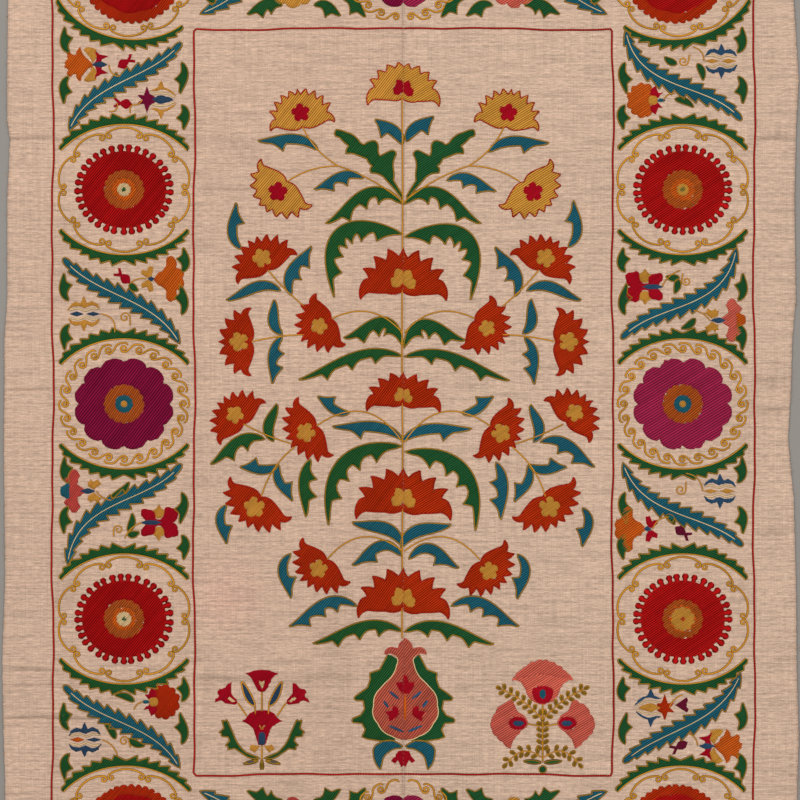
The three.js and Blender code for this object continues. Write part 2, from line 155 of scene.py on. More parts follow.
# Half-carnations of the tree: a toothed fan over a calyx at (u, v), turned out from upright in degrees.
# The drift du, dv moves the right-hand panel's copy.
FAN_SPREAD = 122.0  # from the first tooth to the last, in degrees
FAN_COLUMNS = ("u", "v", "turn", "half", "height", "teeth", "du", "dv")
GOLD_FANS = [
    (0, 426, 0, 50, 50, 8, 0, 0), (141, 386, 8, 45, 52, 9, 3, 0), (163, 309, 138, 48, 50, 8, 6, 0),
]
SCARLET_FANS = [
    (0, 156, 0, 60, 60, 7, 0, 0), (190, 186, 26, 46, 48, 8, 1, 0), (101, 117, 120, 41, 52, 8, -1, -3),
    (213, 85, 90, 47, 45, 7, 1, 0), (0, -2, 0, 51, 44, 7, 0, 0), (224, -30, 43, 43, 46, 8, 4, 3),
    (122, -33, 121, 47, 45, 8, 0, -1), (0, -150, 0, 66, 58, 7, 0, 0), (199, -132, 147, 51, 46, 8, -4, 0),
    (107, -220, 137, 45, 46, 8, 1, -3), (0, -289, 0, 63, 57, 7, 0, 0),
]

# Leaves of the tree, from base to tip. The midrib bows to the left of its way where bow is more than 0,
# and the spurs stand on the hollow side.
LEAF_COLUMNS = ("base_u", "base_v", "tip_u", "tip_v", "bow", "width", "spurs", "du", "dv", "threads")
TEAL, GREEN = {LEFT: "teal", RIGHT: "teal"}, {LEFT: "green", RIGHT: "green"}
MIXED = {LEFT: "green", RIGHT: "teal"}
LEAVES = [
    (2, 361, 40, 396, 4, 18, 1, 3, 4, TEAL), (120, 353, 204, 366, 8, 16, 1, 0, -3, TEAL),
    (56, 313, 125, 298, 8, 14, 2, 5, -3, TEAL), (0, 277, 109, 250, 22, 18, 3, 0, 0, GREEN),
    (0, 235, 96, 147, 58, 21, 6, -3, -4, GREEN), (226, 215, 234, 280, -8, 15, 1, 4, 3, TEAL),
    (156, 150, 128, 219, -10, 17, 2, 0, -1, TEAL), (172, 156, 248, 143, 10, 14, 0, 1, 0, TEAL),
    (169, 96, 181, 144, -7, 14, 0, -2, 1, TEAL), (169, 92, 183, 26, 6, 14, 2, 0, -1, TEAL),
    (0, 79, 84, 90, 24, 18, 3, 3, -3, GREEN), (0, 64, 147, 31, 12, 15, 3, 2, -1, GREEN),
    (76, -14, 120, 9, -4, 14, 1, 6, 0, TEAL), (2, -52, 100, -34, 8, 17, 1, -4, -3, TEAL),
    (0, -62, 104, -172, 42, 22, 4, -4, -8, GREEN), (181, -54, 177, -2, -8, 14, 0, 1, -1, MIXED),
    (194, -52, 270, -87, 10, 17, 2, -2, -4, MIXED), (176, -87, 229, -90, -4, 15, 1, 0, 0, TEAL),
    (174, -87, 155, -138, 6, 14, 1, 0, -1, TEAL), (129, -80, 136, -160, 5, 17, 2, 0, -4, MIXED),
    (247, -144, 247, -198, 7, 14, 1, 3, -4, TEAL), (2, -200, 72, -168, 10, 17, 0, -5, -3, TEAL),
    (2, -216, 72, -228, 16, 17, 1, 6, -4, TEAL), (157, -212, 157, -274, 9, 15, 1, 2, -1, TEAL),
    (65, -286, 160, -314, 14, 16, 3, 2, 0, TEAL), (0, -321, 127, -338, 12, 16, 3, 0, -1, GREEN),
]

# The lobed leaf at the crown of the stem: u, v and the bow of the stretch that leaves the point.
LOBED_LEAF = [
    (1, 290, 0), (14, 311, 0.05), (14, 326, -0.1), (10, 347, 0.3), (19, 352, 0), (33, 345, -0.1),
    (35, 357, 0.35), (48, 365, 0.1), (54, 361, -0.15), (62, 366, 0.1), (80, 378, 0.05), (94, 382, 0.4),
    (89, 371, 0.05), (76, 359, 0.15), (80, 348, -0.1), (64, 346, 0), (51, 341, 0.1), (43, 331, 0.25),
    (45, 321, -0.1), (28, 316, 0), (12, 298, 0), (1, 284, 0),
]

STEMS = [  # from u, v, to u, v, bow
    (0, 281, 91, 331, 5), (91, 331, 141, 386, -6), (91, 331, 163, 309, 6), (0, 97, 101, 117, 20),
    (139, 135, 190, 186, -2), (139, 95, 213, 85, 2), (0, -56, 122, -33, 32), (152, -62, 199, -132, 7),
    (156, -58, 224, -30, -2), (0, -208, 107, -220, 26),
]
HALF_HEART = [  # of a half-carnation 60 high on the seam
    (0, 27, 0.1), (5, 31, 0.35), (12, 27, 0.1), (13, 20, 0.3), (17, 11, 0.3), (10, 5, 0.2), (4, 8, 0),
    (0, 11, 0),
]
MAIN_STEM = [(-330, -288), (-234, -149), (-94, -1), (40, 157), (213, 427)]  # v of its stretches

# Flowers of the border cells, drawn facing up from their foot at (0, 0). The nodes of a "whole" run from
# the axis up the right side and back to it, and the left side mirrors them. A "pair" is a closed shape
# and its mirror image, and a "line" is chain stitch and its mirror image. The number is the thread's
# place in the flower's row of BORDER_FLOWERS.
MOTIFS = {
    "star": [
        ("pair", 0, [(2, 23), (9, 26), (21, 36, 0.15), (24, 27), (22, 18), (9, 17)]),
        ("pair", 1, [(2, 20), (9, 17), (21, 21), (14, 13), (12, 1), (7, 10), (3, 11)]),
        ("whole", 2, [(0, 22), (8, 30, 0.1), (24, 40, -0.15), (14, 46, 0.2), (17, 54, -0.35), (8, 57, 0.1),
                      (4, 62, -0.2), (0, 60)]),
        ("whole", 3, [(0, 2), (3.6, 9, -0.1), (3, 18), (0, 25)]),
    ],
    "arches": [
        ("pair", 1, [(12, 10), (17, 21), (28, 26), (17, 30, -0.1), (4, 48), (11, 37, 0.15), (12, 20)]),
        ("whole", 0, [(0, -1), (7, -8), (6, 2), (19, 6), (8, 10), (4, 17), (0, 17)]),
        ("whole", 2, [(0, 12), (5.5, 22, -0.1), (4, 33, -0.1), (0, 43)]),
        ("line", 3, [(7, 13), (9, 24), (8, 35), (3, 45)]),
    ],
    "lily": [
        ("whole", 3, [(0, 33), (9, 34, -0.3), (8.5, 44, -0.25), (0, 50)]),
        ("whole", 0, [(0, 13), (3, 17), (9, 26, 0.1), (21, 22), (29, 27, -0.3), (25, 37), (17, 45, -0.2),
                      (10, 37), (0, 38)]),
        ("pair", 1, [(2, 3), (7, 12, -0.2), (14, 14, -0.4), (18, 8, -0.1), (13, 3), (17, -3, -0.2),
                     (9, -12, -0.1), (8, -4)]),
        ("whole", 2, [(0, 0), (3.4, 9, -0.1), (3, 16), (0, 24)]),
    ],
    "butterfly": [
        ("pair", 1, [(6, 21), (13, 13), (17, 16), (20, 20), (26, 24), (20, 27), (17, 32), (12, 34),
                     (6, 27)]),
        ("whole", 0, [(0, 9), (4, 4), (10, -1, -0.45), (18, 9, -0.3), (6, 19, 0.15), (5, 27, 0.1),
                      (14, 31, -0.4), (20, 42, -0.4), (9, 50, -0.2), (0, 43)]),
        ("whole", 2, [(0, -3), (3.6, 8), (3.6, 19), (0, 29)]),
    ],
    "tulip": [
        ("pair", 0, [(5, 47), (13, 43), (17, 36), (15, 29), (25, 24), (15, 20), (18, 13), (14, 5), (6, 1),
                     (11, 8), (12, 14), (8, 23), (11, 31), (10, 40)]),
        ("line", 1, [(7, 3), (8, 12), (4, 22), (8, 32), (5, 45)]),
        ("whole", 2, [(0, 24), (3.6, 34), (0, 45)]),
        ("whole", 3, [(0, 0), (3.0, 11), (0, 22)]),
    ],
    "rosette": [
        ("whole", 0, [(0, 10), (5, 15), (16, 16, -0.35), (22, 26, -0.35), (20, 37, -0.35), (12, 45, -0.35),
                      (3, 50), (0, 49)]),
        ("pair", 1, [(3, 8), (11, 1), (10, 7), (20, 11), (15, 18), (8, 19), (4, 13)]),
        ("whole", 2, [(0, 8, -0.25), (6.5, 14.5, -0.25), (0, 21)]),
        ("whole", 3, [(0, -3), (2.6, 2), (2, 7), (0, 9)]),
    ],
    "cross": [
        ("whole", 0, [(0, 9), (9, 17, 0.1), (17, 28), (27, 28, -0.4), (27, 41, -0.1), (16, 42),
                      (13, 50, -0.2), (0, 51)]),
        ("pair", 1, [(1, 2), (7, -7), (13, -6), (11, 1), (18, 4), (17, 10), (8, 9), (3, 6)]),
        ("whole", 2, [(0, 2), (3.6, 7), (0, 13)]),
    ],
    "bud": [("whole", 0, [(0, 0), (6, 6, -0.2), (5, 13, -0.1), (2, 17), (7, 24), (5, 27), (0, 21)])],
    "bell": [("whole", 0, [(0, 0), (4, 6), (11, 16), (6, 18), (2, 15), (0, 16)])],
}

BORDER_FLOWERS = {  # motif, threads, u, v and turn of the foot
    LEFT: [
        ("star", ("gold", "crimson", "amber", "slate"), 412, 473, 90),
        ("arches", ("purple", "gold", "slate", "cream"), 365, 424, -90),
        ("bud", ("crimson",), 400, 469, -58), ("bud", ("crimson",), 379, 417, 84),
        ("cross", ("amber", "gold", "slate"), 360, 173, -90), ("bud", ("crimson",), 382, 167, 50),
        ("tulip", ("gold", "cream", "slate", "slate"), 423, 124, 90),
        ("lily", ("rose", "gold", "slate", "teal"), 430, -124, 90),
        ("butterfly", ("crimson", "gold", "slate"), 366, -168, -90),
        ("rosette", ("scarlet", "crimson", "gold", "teal"), 364, -419, -90),
        ("tulip", ("slate", "cream", "amber", "slate"), 422, -472, 90),
    ],
    RIGHT: [
        ("tulip", ("slate", "cream", "gold", "gold"), 421, 478, 90),
        ("rosette", ("amber", "crimson", "gold", "teal"), 364, 423, -90),
        ("butterfly", ("crimson", "gold", "slate"), 362, 162, -90),
        ("lily", ("rose", "gold", "slate", "amber"), 429, 115, 90),
        ("tulip", ("slate", "cream", "gold", "gold"), 419, -124, 90),
        ("cross", ("amber", "crimson", "slate"), 349, -177, -90), ("bud", ("plum",), 380, -174, 125),
        ("arches", ("scarlet", "slate", "gold", "cream"), 372, -427, -90),
        ("bell", ("plum",), 381, -424, 88),
        ("star", ("gold", "crimson", "amber", "slate"), 412, -481, 90),
        ("bud", ("plum",), 398, -475, -118),
    ],
}

BORDER_STEMS = {  # from u, v, to u, v, bow
    LEFT: [
        (412, 473, 399, 456, 4), (379, 417, 382, 405, 2), (379, 417, 365, 424, 3),
        (400, 419, 412, 407, -5), (423, 124, 404, 98, -8), (382, 167, 360, 173, -3),
        (430, -124, 408, -137, 3), (366, -168, 390, -190, 4), (364, -419, 377, -430, 3),
        (422, -472, 400, -494, -4),
    ],
    RIGHT: [
        (421, 478, 405, 498, -5), (364, 423, 380, 433, 3), (362, 162, 388, 185, 4),
        (429, 115, 406, 129, -3), (419, -124, 395, -99, -7), (349, -177, 372, -160, 5),
        (372, -427, 391, -409, 3), (412, -481, 398, -463, -4),
    ],
}

BORDER_CURLS = {  # centre u, v, radius, the angle in degrees where the coil is entered, sense
    LEFT: [
        (390, 119, 7.5, 180, -1), (399, -178, 6.5, 0, 1), (391, -474, 7, 170, -1),
    ],
    RIGHT: [
        (392, 478, 7, -10, -1), (396, 170, 6.5, 170, 1), (388, -122, 7.5, 0, -1),
    ],
}

BORDER_LEAVES = {  # base u, v, tip u, v
    LEFT: [
        (382, 167, 371, 157), (409, -131, 384, -111), (386, -180, 380, -155), (386, -184, 370, -181),
        (377, -419, 404, -410), (404, -471, 418, -451), (384, -470, 362, -480),
    ],
    RIGHT: [
        (383, 475, 366, 484), (411, 474, 419, 451), (380, 424, 406, 413), (386, 176, 368, 177),
        (383, 173, 379, 153), (408, 118, 389, 104), (368, -158, 379, -171),
    ],
}

# The end borders. Their leaves and flowers are the same at both ends, with v mirrored.
END_LEAVES = [  # base u, v, tip u, v, bow, width, spurs
    (170, 555, 219, 543, 6, 15, 2), (125, 555, 88, 541, -5, 14, 1), (86, 566, 53, 539, -4, 14, 1),
    (180, 640, 216, 668, 6, 14, 1), (118, 640, 100, 668, -4, 14, 1), (262, 560, 276, 590, -4, 12, 1),
]
END_FLOWERS = [(155, 590), (245, 660)]
END_FLOWER_RADII = (38, 30)
END_THREADS = {  # side and end: threads of the big flower and its heart
    (LEFT, 1): ("gold", "teal"), (RIGHT, 1): ("rose", "crimson"), (LEFT, -1): ("rose", "crimson"),
    (RIGHT, -1): ("gold", "teal"),
}
END_CELL = ((285, 544), (105, 690))
END_ROSETTES_V = (621, -617)

# The pomegranate flask: right halves, from the axis down and back to it, or closed shapes.
FLASK_BODY = [
    (0, -329), (9, -338), (11, -345), (20, -343, 0.2), (30, -352), (21, -350), (13, -357, -0.15),
    (13, -366, -0.1), (28, -391), (40, -404, 0.1), (45.5, -424, 0.15), (40, -449, 0.12), (20, -467, 0.1),
    (0, -472),
]
COLLAR_V, THROAT_V = -356, -352  # where the crown's rose edge ends below, and the cream one above
MANTLE_OUTSIDE = [
    (22, -353), (33, -374), (47, -379), (46, -387), (50, -399), (60, -406), (68, -412, 0.3), (66, -417),
    (56, -417), (54, -429), (60, -438), (70, -442, 0.3), (70, -448), (58, -449), (53, -458), (58, -468),
    (50, -471), (30, -474), (12, -473),
]
MANTLE_INSIDE = [
    (12, -463), (30, -454, -0.1), (36, -430, -0.1), (30, -402), (18, -389), (6, -376), (5, -362),
    (16, -354),
]
FLASK_CREST = [(0, -381), (3, -382), (6, -391), (15, -392), (11, -401), (6, -408), (0, -408)]
FLASK_SIDE = [
    (10, -437), (11, -427), (19, -424), (20, -431), (31, -433), (25, -438), (24, -447), (14, -441),
]
FLASK_TASSEL = [
    (0, -487), (8, -488), (11, -495), (17, -502), (12, -505), (8, -500), (6, -504), (3, -510), (0, -508),
]
FLASK_LEAF = [
    (3, -481, 0.05), (18, -473, 0.1), (36, -477, 0.2), (44, -492, 0.1), (34, -514), (31, -500, -0.1),
    (22, -489, -0.1), (6, -484),
]
FLASK_SHIFT = {LEFT: -4, RIGHT: 2}  # from the seam, of the body and what is on it
FLASK_DASHES = [((10, -415), (24, -404)), ((25, -427), (32, -417)), ((3, -461), (25, -452))]
FLASK_MIDLINE = (complex(2.6, -408), complex(2.6, -447))

# The small plants at the foot, in the way of MOTIFS.
TULIP_PLANT_FOOT = (198, -498)
TULIP_PLANT = [
    ("line", "ochre", [(0, -2), (0, 18)]),
    ("line", "ochre", [(0, 66), (0, 93)]),
    ("line", "ochre", [(9, 62), (10, 75)]),
    ("line", "ochre", [(21, 59), (34, 78)]),
    ("whole", "crimson", [(0, 18), (5, 19), (12, 41, 0.08), (29, 52, 0.1), (18, 62, -0.1), (0, 67)]),
    ("whole", "crimson", [(0, 92), (6, 95), (13, 109, 0.1), (24, 119, 0.05), (11, 123), (0, 124)]),
    ("pair", "crimson", [(34, 77), (38, 75), (52, 77, 0.1), (58, 81), (67, 78), (64, 84, 0.2),
                         (60, 88, -0.3), (59, 97, 0.1), (52, 99), (48, 104), (43, 106), (43, 92, 0.1),
                         (36, 83)]),
    ("whole", "cream", [(0, 97), (3.4, 104), (4, 109), (0, 107)]),
    ("pair", "cream", [(37, 80), (41, 78), (49, 84), (45, 86)]),
    ("pair", "gold", [(0.5, 39), (5, 47), (2.4, 46), (0.5, 43)]),
    ("whole", "slate", [(0, 18), (5, 20), (5, 32, -0.2), (0, 37)]),
    ("pair", "gold", [(3, 17), (14, 19), (18, 13), (10, 8)]),
]
TULIP_PLANT_LEAF = [
    (3, 0), (22, 8, -0.08), (40, 34), (49, 54, -0.3), (56, 54), (53, 42), (60, 36, -0.4), (57, 31),
    (47, 30), (45, 24), (51, 18, -0.4), (48, 12), (38, 14), (22, 3, 0.1),
]
POPPY_PLANT_FOOT = (195, -508)
POPPY_PLANT = [
    ("line", "ochre", [(0, 4), (0, 86)]),
    ("line", "ochre", [(2, 55), (21, 58)]),
    ("whole", "pink", [(0, 85, -0.05), (14, 90, -0.1), (24, 106), (30, 116, 0.1), (43, 119, -0.1),
                       (35, 129, -0.1), (29, 134, -0.2), (20, 140, -0.2), (10, 145, -0.2), (0, 147)]),
    ("whole", "rose", [(0, 127, 0.05), (18, 124, 0.05), (42, 119, -0.1), (35, 129, -0.1), (29, 134, -0.2),
                       (20, 140, -0.2), (10, 145, -0.2), (0, 147)]),
    ("pair", "rose", [(20, 59, 0.1), (29, 72, -0.1), (37, 79), (42, 92, 0.15), (52, 87, 0.15),
                      (61, 82, 0.15), (66, 72, 0.15), (72, 62, 0.15), (71, 50, 0.15), (64, 40, 0.15),
                      (56, 33, 0.15), (45, 24), (41, 36), (31, 47, 0.1)]),
    ("whole", "crimson", [(0, 86, -0.2), (14, 98, -0.3), (8, 110, -0.1), (0, 111)]),
    ("whole", "teal", [(0, 93, -0.2), (4.5, 101, -0.2), (0, 107)]),
    ("pair", "crimson", [(22, 59, 0.2), (34, 68, 0.2), (48, 60, 0.2), (37, 50, 0.2)]),
    ("pair", "slate", [(26, 59, 0.2), (34, 62.5, 0.2), (42, 59, 0.2), (34, 55, 0.2)]),
]
POPPY_SPRIGS = [  # base x, y, tip x, y, bow and pairs of leaflets, on both sides of the axis
    (0, 64, 56, 106, 4, 7), (0, 10, 49, 4, 13, 5),
]
CELL_LEAVES = {  # base u, v, tip u, v, bow and sway of the long leaf of each border cell
    LEFT: [
        (468, 380, 311, 504, -8, 2.6), (313, 82, 476, 202, 5.6, 3.5), (470, -228, 311, -86, -19, 1.6),
        (313, -512, 475, -396, 5.6, 3.5),
    ],
    RIGHT: [
        (311, 522, 473, 395, -17, 1.8), (466, 218, 305, 89, 20, 1.5), (307, -84, 475, -201, -15, 1.6),
        (472, -379, 308, -504, 13.5, 1.4),
    ],
}
CORNER_LEAVES = [  # from the cell's middle: base u, v, tip u, v, bow; for a cell whose leaf rises inward
    (76, 40, 83, 76, -4), (77, 6, 84, -32, 4), (-80, 26, -78, -18, -4), (-80, -34, -83, -68, -4),
]
ROUNDELS = [  # kind, v, then u and both radii of the disc, u of its ring and crescents, their turn outward
    ("corner", 600, 380, 72, 70, 385, 12), ("disc", 298, 391, 69, 63, 391, 0),
    ("rosette", -2, 391, 70.5, 65, 391, 0), ("disc", -303, 391, 69, 63, 391, 0),
    ("corner", -600, 381, 68, 66, 388, 0),
]
HEARTS = {  # side and v of a disc: the thread and radius of its heart, and the thread of the spot
    (LEFT, 298): ("cream", 10, "green"), (RIGHT, 298): ("gold", 9, "green"),
    (LEFT, -303): ("cream", 11, "green"), (RIGHT, -303): ("gold", 17, "red"),
}

# Settings


def srgb(red, green, blue):
    """A colour of three 8-bit sRGB values, as linear light."""
    part = np.array([red, green, blue]) / 255.0
    return tuple(np.where(part <= 0.04045, part / 12.92, ((part + 0.055) / 1.055) ** 2.4))


THREADS = {  # the record's slot, then the dyed colour on the left panel and on the right
    "madder": ("silk_red", (158, 30, 20), (152, 26, 18)),
    "crimson": ("silk_red", (156, 12, 30), (162, 14, 30)),
    "red": ("silk_red", (150, 14, 15), (158, 18, 17)),
    "scarlet": ("silk_orange", (162, 40, 12), (166, 43, 12)),
    "rust": ("silk_orange", (158, 74, 28), (160, 74, 26)),
    "amber": ("silk_orange", (186, 82, 22), (186, 82, 24)),
    "purple": ("silk_purple", (114, 16, 50), (144, 34, 66)),
    "plum": ("silk_purple", (98, 22, 44), (92, 20, 40)),
    "pink": ("silk_pink", (176, 86, 66), (204, 94, 76)),
    "coral": ("silk_pink", (176, 82, 64), (176, 82, 64)),
    "rose": ("silk_pink", (178, 66, 58), (196, 90, 74)),
    "gold": ("silk_yellow", (194, 134, 54), (194, 136, 54)),
    "cream": ("silk_yellow", (212, 180, 132), (212, 180, 132)),
    "ochre": ("silk_outline", (190, 130, 38), (190, 130, 38)),
    "edging": ("silk_outline", (136, 100, 30), (136, 100, 30)),
    "olive": ("silk_green", (92, 74, 24), (92, 74, 24)),
    "green": ("silk_green", (28, 68, 34), (26, 68, 38)),
    "teal": ("silk_teal", (30, 81, 93), (28, 81, 95)),
    "slate": ("silk_teal", (40, 60, 80), (42, 70, 94)),
    "cotton": ("ground_left", (200, 168, 146), (200, 168, 146)),
}
LINE_THREADS = ("madder", "cream", "ochre", "edging", "cotton")  # worked as chain stitch
BOLD_THREADS = ("pink", "rose", "amber")  # laid in full rows in small flowers too


def colour_setting(name, text, rgb):
    return FloatVectorProperty(
        name=name, description=text, default=srgb(*rgb), subtype="COLOR", size=3, min=0, max=1
    )


class SUZANI_PG_cloth(bpy.types.PropertyGroup):
    """Sizes and colours of the cotton."""

    left: colour_setting("Left panel", "Colour of the left panel's cotton", (203, 171, 148))
    right: colour_setting("Right panel", "Colour of the right panel's cotton", (204, 173, 150))
    slub: FloatProperty(
        name="Slub", description="How strongly uneven weft threads show", default=0.8, min=0, max=1,
        subtype="FACTOR",
    )
    weave: FloatProperty(
        name="Weave", description="Height of the weave's relief", default=0.0003, min=0, max=0.002,
        subtype="DISTANCE", unit="LENGTH",
    )


class SUZANI_PG_silk(bpy.types.PropertyGroup):
    """Sizes of the stitches."""

    pitch: FloatProperty(
        name="Row pitch", description="Distance between rows of laid thread", default=2.8 * MM,
        subtype="DISTANCE", unit="LENGTH",
    )
    rise: FloatProperty(
        name="Row height", description="Height of a row over the cloth", default=0.8 * MM,
        subtype="DISTANCE", unit="LENGTH",
    )
    outline: FloatProperty(
        name="Outline", description="Width of the chain stitch", default=2.5 * MM,
        subtype="DISTANCE", unit="LENGTH",
    )
    # Painted shade: how much darker a thread's colour is made towards its edges, in the grooves between
    # rows.
    painted_groove_shade: FloatProperty(
        name="Groove", description="How dark it is between two rows", default=0.82, min=0, max=1,
        subtype="FACTOR",
    )


class SUZANI_PG_stage(bpy.types.PropertyGroup):
    """The floor and the light."""

    floor: colour_setting("Floor", "Colour of the floor", (140, 135, 129))
    key: FloatProperty(
        name="Key light", description="Power of the soft light from the upper left", default=105,
        min=0, unit="POWER",
    )
    fill: FloatProperty(
        name="Fill light", description="Strength of the light from all round", default=0.592, min=0
    )


def settings(name):
    return getattr(bpy.context.scene, "suzani_" + name)


# The cloth's surface


def selvedge(side, v):
    """The distance of a panel's selvedge from the seam at v: straight between the rows of the table."""
    table = np.array(SELVEDGES[::-1], float)
    return np.interp(v, table[:, 0], table[:, 1 if side == LEFT else 2]) - side * SEAM_X


def swell(x, y):
    """How far the cloth's underside stands off the surface at x, y: the sum of long low ripples, each a
    raised sine, and of soft puckers, each a bump that falls off as a bell along and across its length."""
    height = np.zeros_like(x)
    for wave, angle, rise, phase in RIPPLES:
        along = x * math.cos(math.radians(angle)) + y * math.sin(math.radians(angle))
        height += rise * (0.5 + 0.5 * np.sin(2 * math.pi * along / wave + phase)) ** 2
    for at_x, at_y, length, angle, half, rise in PUCKERS:
        turned = (x - at_x + 1j * (y - at_y)) * np.exp(-1j * math.radians(angle))
        height += rise * np.exp(-((turned.real / length) ** 2) - (turned.imag / half) ** 2)
    return height


def creased(x, y):
    """What the creases add to the height at x, y, and how deep in a trough that place is, from 0 to 1.
    Each crease is a soft trough with a low ridge on both sides. It fades out over its ends and waves a
    little as a sine of u."""
    height, deep = np.zeros_like(x), np.zeros_like(x)
    side = np.where(x < SEAM_X, LEFT, RIGHT)
    u = np.abs(x - SEAM_X)
    for of_side, v, start, end, depth, half in CREASES:
        across = (y - v - 1.2 * np.sin(u / 23 + v)) / half
        share = 1 / (1 + np.exp(-(u - start) / 4)) / (1 + np.exp((u - end) / 4))
        share = np.where(side == of_side, share * depth, 0)
        trough = np.exp(-(across**2))
        height += share * (0.45 * np.exp(-((np.abs(across) - 2.4) ** 2)) - trough)
        # This trough share is also painted on the cotton as shade in the crease.
        deep = np.maximum(deep, share * trough)
    return height, deep


def lie(x, y):
    """The height of the cloth's upper face at x, y in millimetres: thickness, swell, hems, creases."""
    height = CLOTH_THICKNESS + swell(x, y) + creased(x, y)[0]
    return height + HEM_RISE / (1 + np.exp(-(np.abs(y) - HALF_LENGTH + HEM_DEPTH)))


# Meshes


def make_mesh(name, points, quads, uv=None, **attributes):
    """A mesh object of points (n by 3, in millimetres) and quads, smooth, with values for its points."""
    mesh = bpy.data.meshes.new(name)
    mesh.vertices.add(len(points))
    mesh.vertices.foreach_set("co", (np.asarray(points) * MM).astype(np.float32).ravel())
    mesh.loops.add(4 * len(quads))
    mesh.loops.foreach_set("vertex_index", quads.astype(np.int32).ravel())
    mesh.polygons.add(len(quads))
    mesh.polygons.foreach_set("loop_start", np.arange(0, 4 * len(quads), 4, dtype=np.int32))
    mesh.update(calc_edges=True)
    if uv is not None:
        layer = mesh.uv_layers.new(name="thread")
        layer.data.foreach_set("uv", uv[quads.ravel()].astype(np.float32).ravel())
    for key, values in attributes.items():
        mesh.attributes.new(key, "FLOAT", "POINT").data.foreach_set("value", values.astype(np.float32))
    mesh.shade_smooth()
    mesh.validate()
    obj = bpy.data.objects.new(name, mesh)
    bpy.context.scene.collection.objects.link(obj)
    return obj


def sheet_mesh(name, x, y, top, under, fold):
    """A closed sheet over a grid: two height fields on the same x and y, joined by a rim of quads."""
    rows, columns = x.shape
    index = np.arange(rows * columns).reshape(rows, columns)
    low = index + rows * columns
    points = np.concatenate([
        np.stack([x, y, top], -1).reshape(-1, 3),
        np.stack([x, y, under], -1).reshape(-1, 3),
    ])

    def quad(a, b, c, d):
        return np.stack([a, b, c, d], -1).reshape(-1, 4)

    quads = np.concatenate([
        quad(index[:-1, :-1], index[:-1, 1:], index[1:, 1:], index[1:, :-1]),
        quad(low[:-1, :-1], low[1:, :-1], low[1:, 1:], low[:-1, 1:]),
        quad(index[:-1, 0], index[1:, 0], low[1:, 0], low[:-1, 0]),
        quad(index[:-1, -1], low[:-1, -1], low[1:, -1], index[1:, -1]),
        quad(index[0, :-1], low[0, :-1], low[0, 1:], index[0, 1:]),
        quad(index[-1, :-1], index[-1, 1:], low[-1, 1:], low[-1, :-1]),
    ])
    # The top face's points carry the crease trough share, which the cotton paints as shade; the underside's
    # carry none.
    return make_mesh(name, points, quads, fold=np.concatenate([fold.ravel(), np.zeros(fold.size)]))


# Stitches

HALF_LINK = 1.75  # half the length of a chain stitch's link
STITCH_STEP = 6.0  # between two rings of a laid thread
SHORTEST_ROW = 0.8
TUCK = 0.9  # how far a row reaches in under what lies over it
HALF_ROW = 0.62  # half a row's width, by its pitch, so that rows close up
FINE = 0.62  # the row pitch in small motifs, by the usual one
ROW_LEAN = {LEFT: 52.0, RIGHT: 34.0}  # of the rows, in degrees
SECTION = ((-1.0, 0.0), (-0.5, 1.0), (0.5, 1.0), (1.0, 0.0))  # across, and up, of a thread
ROOT = -0.15  # where a thread's foot stands, from the cloth's face


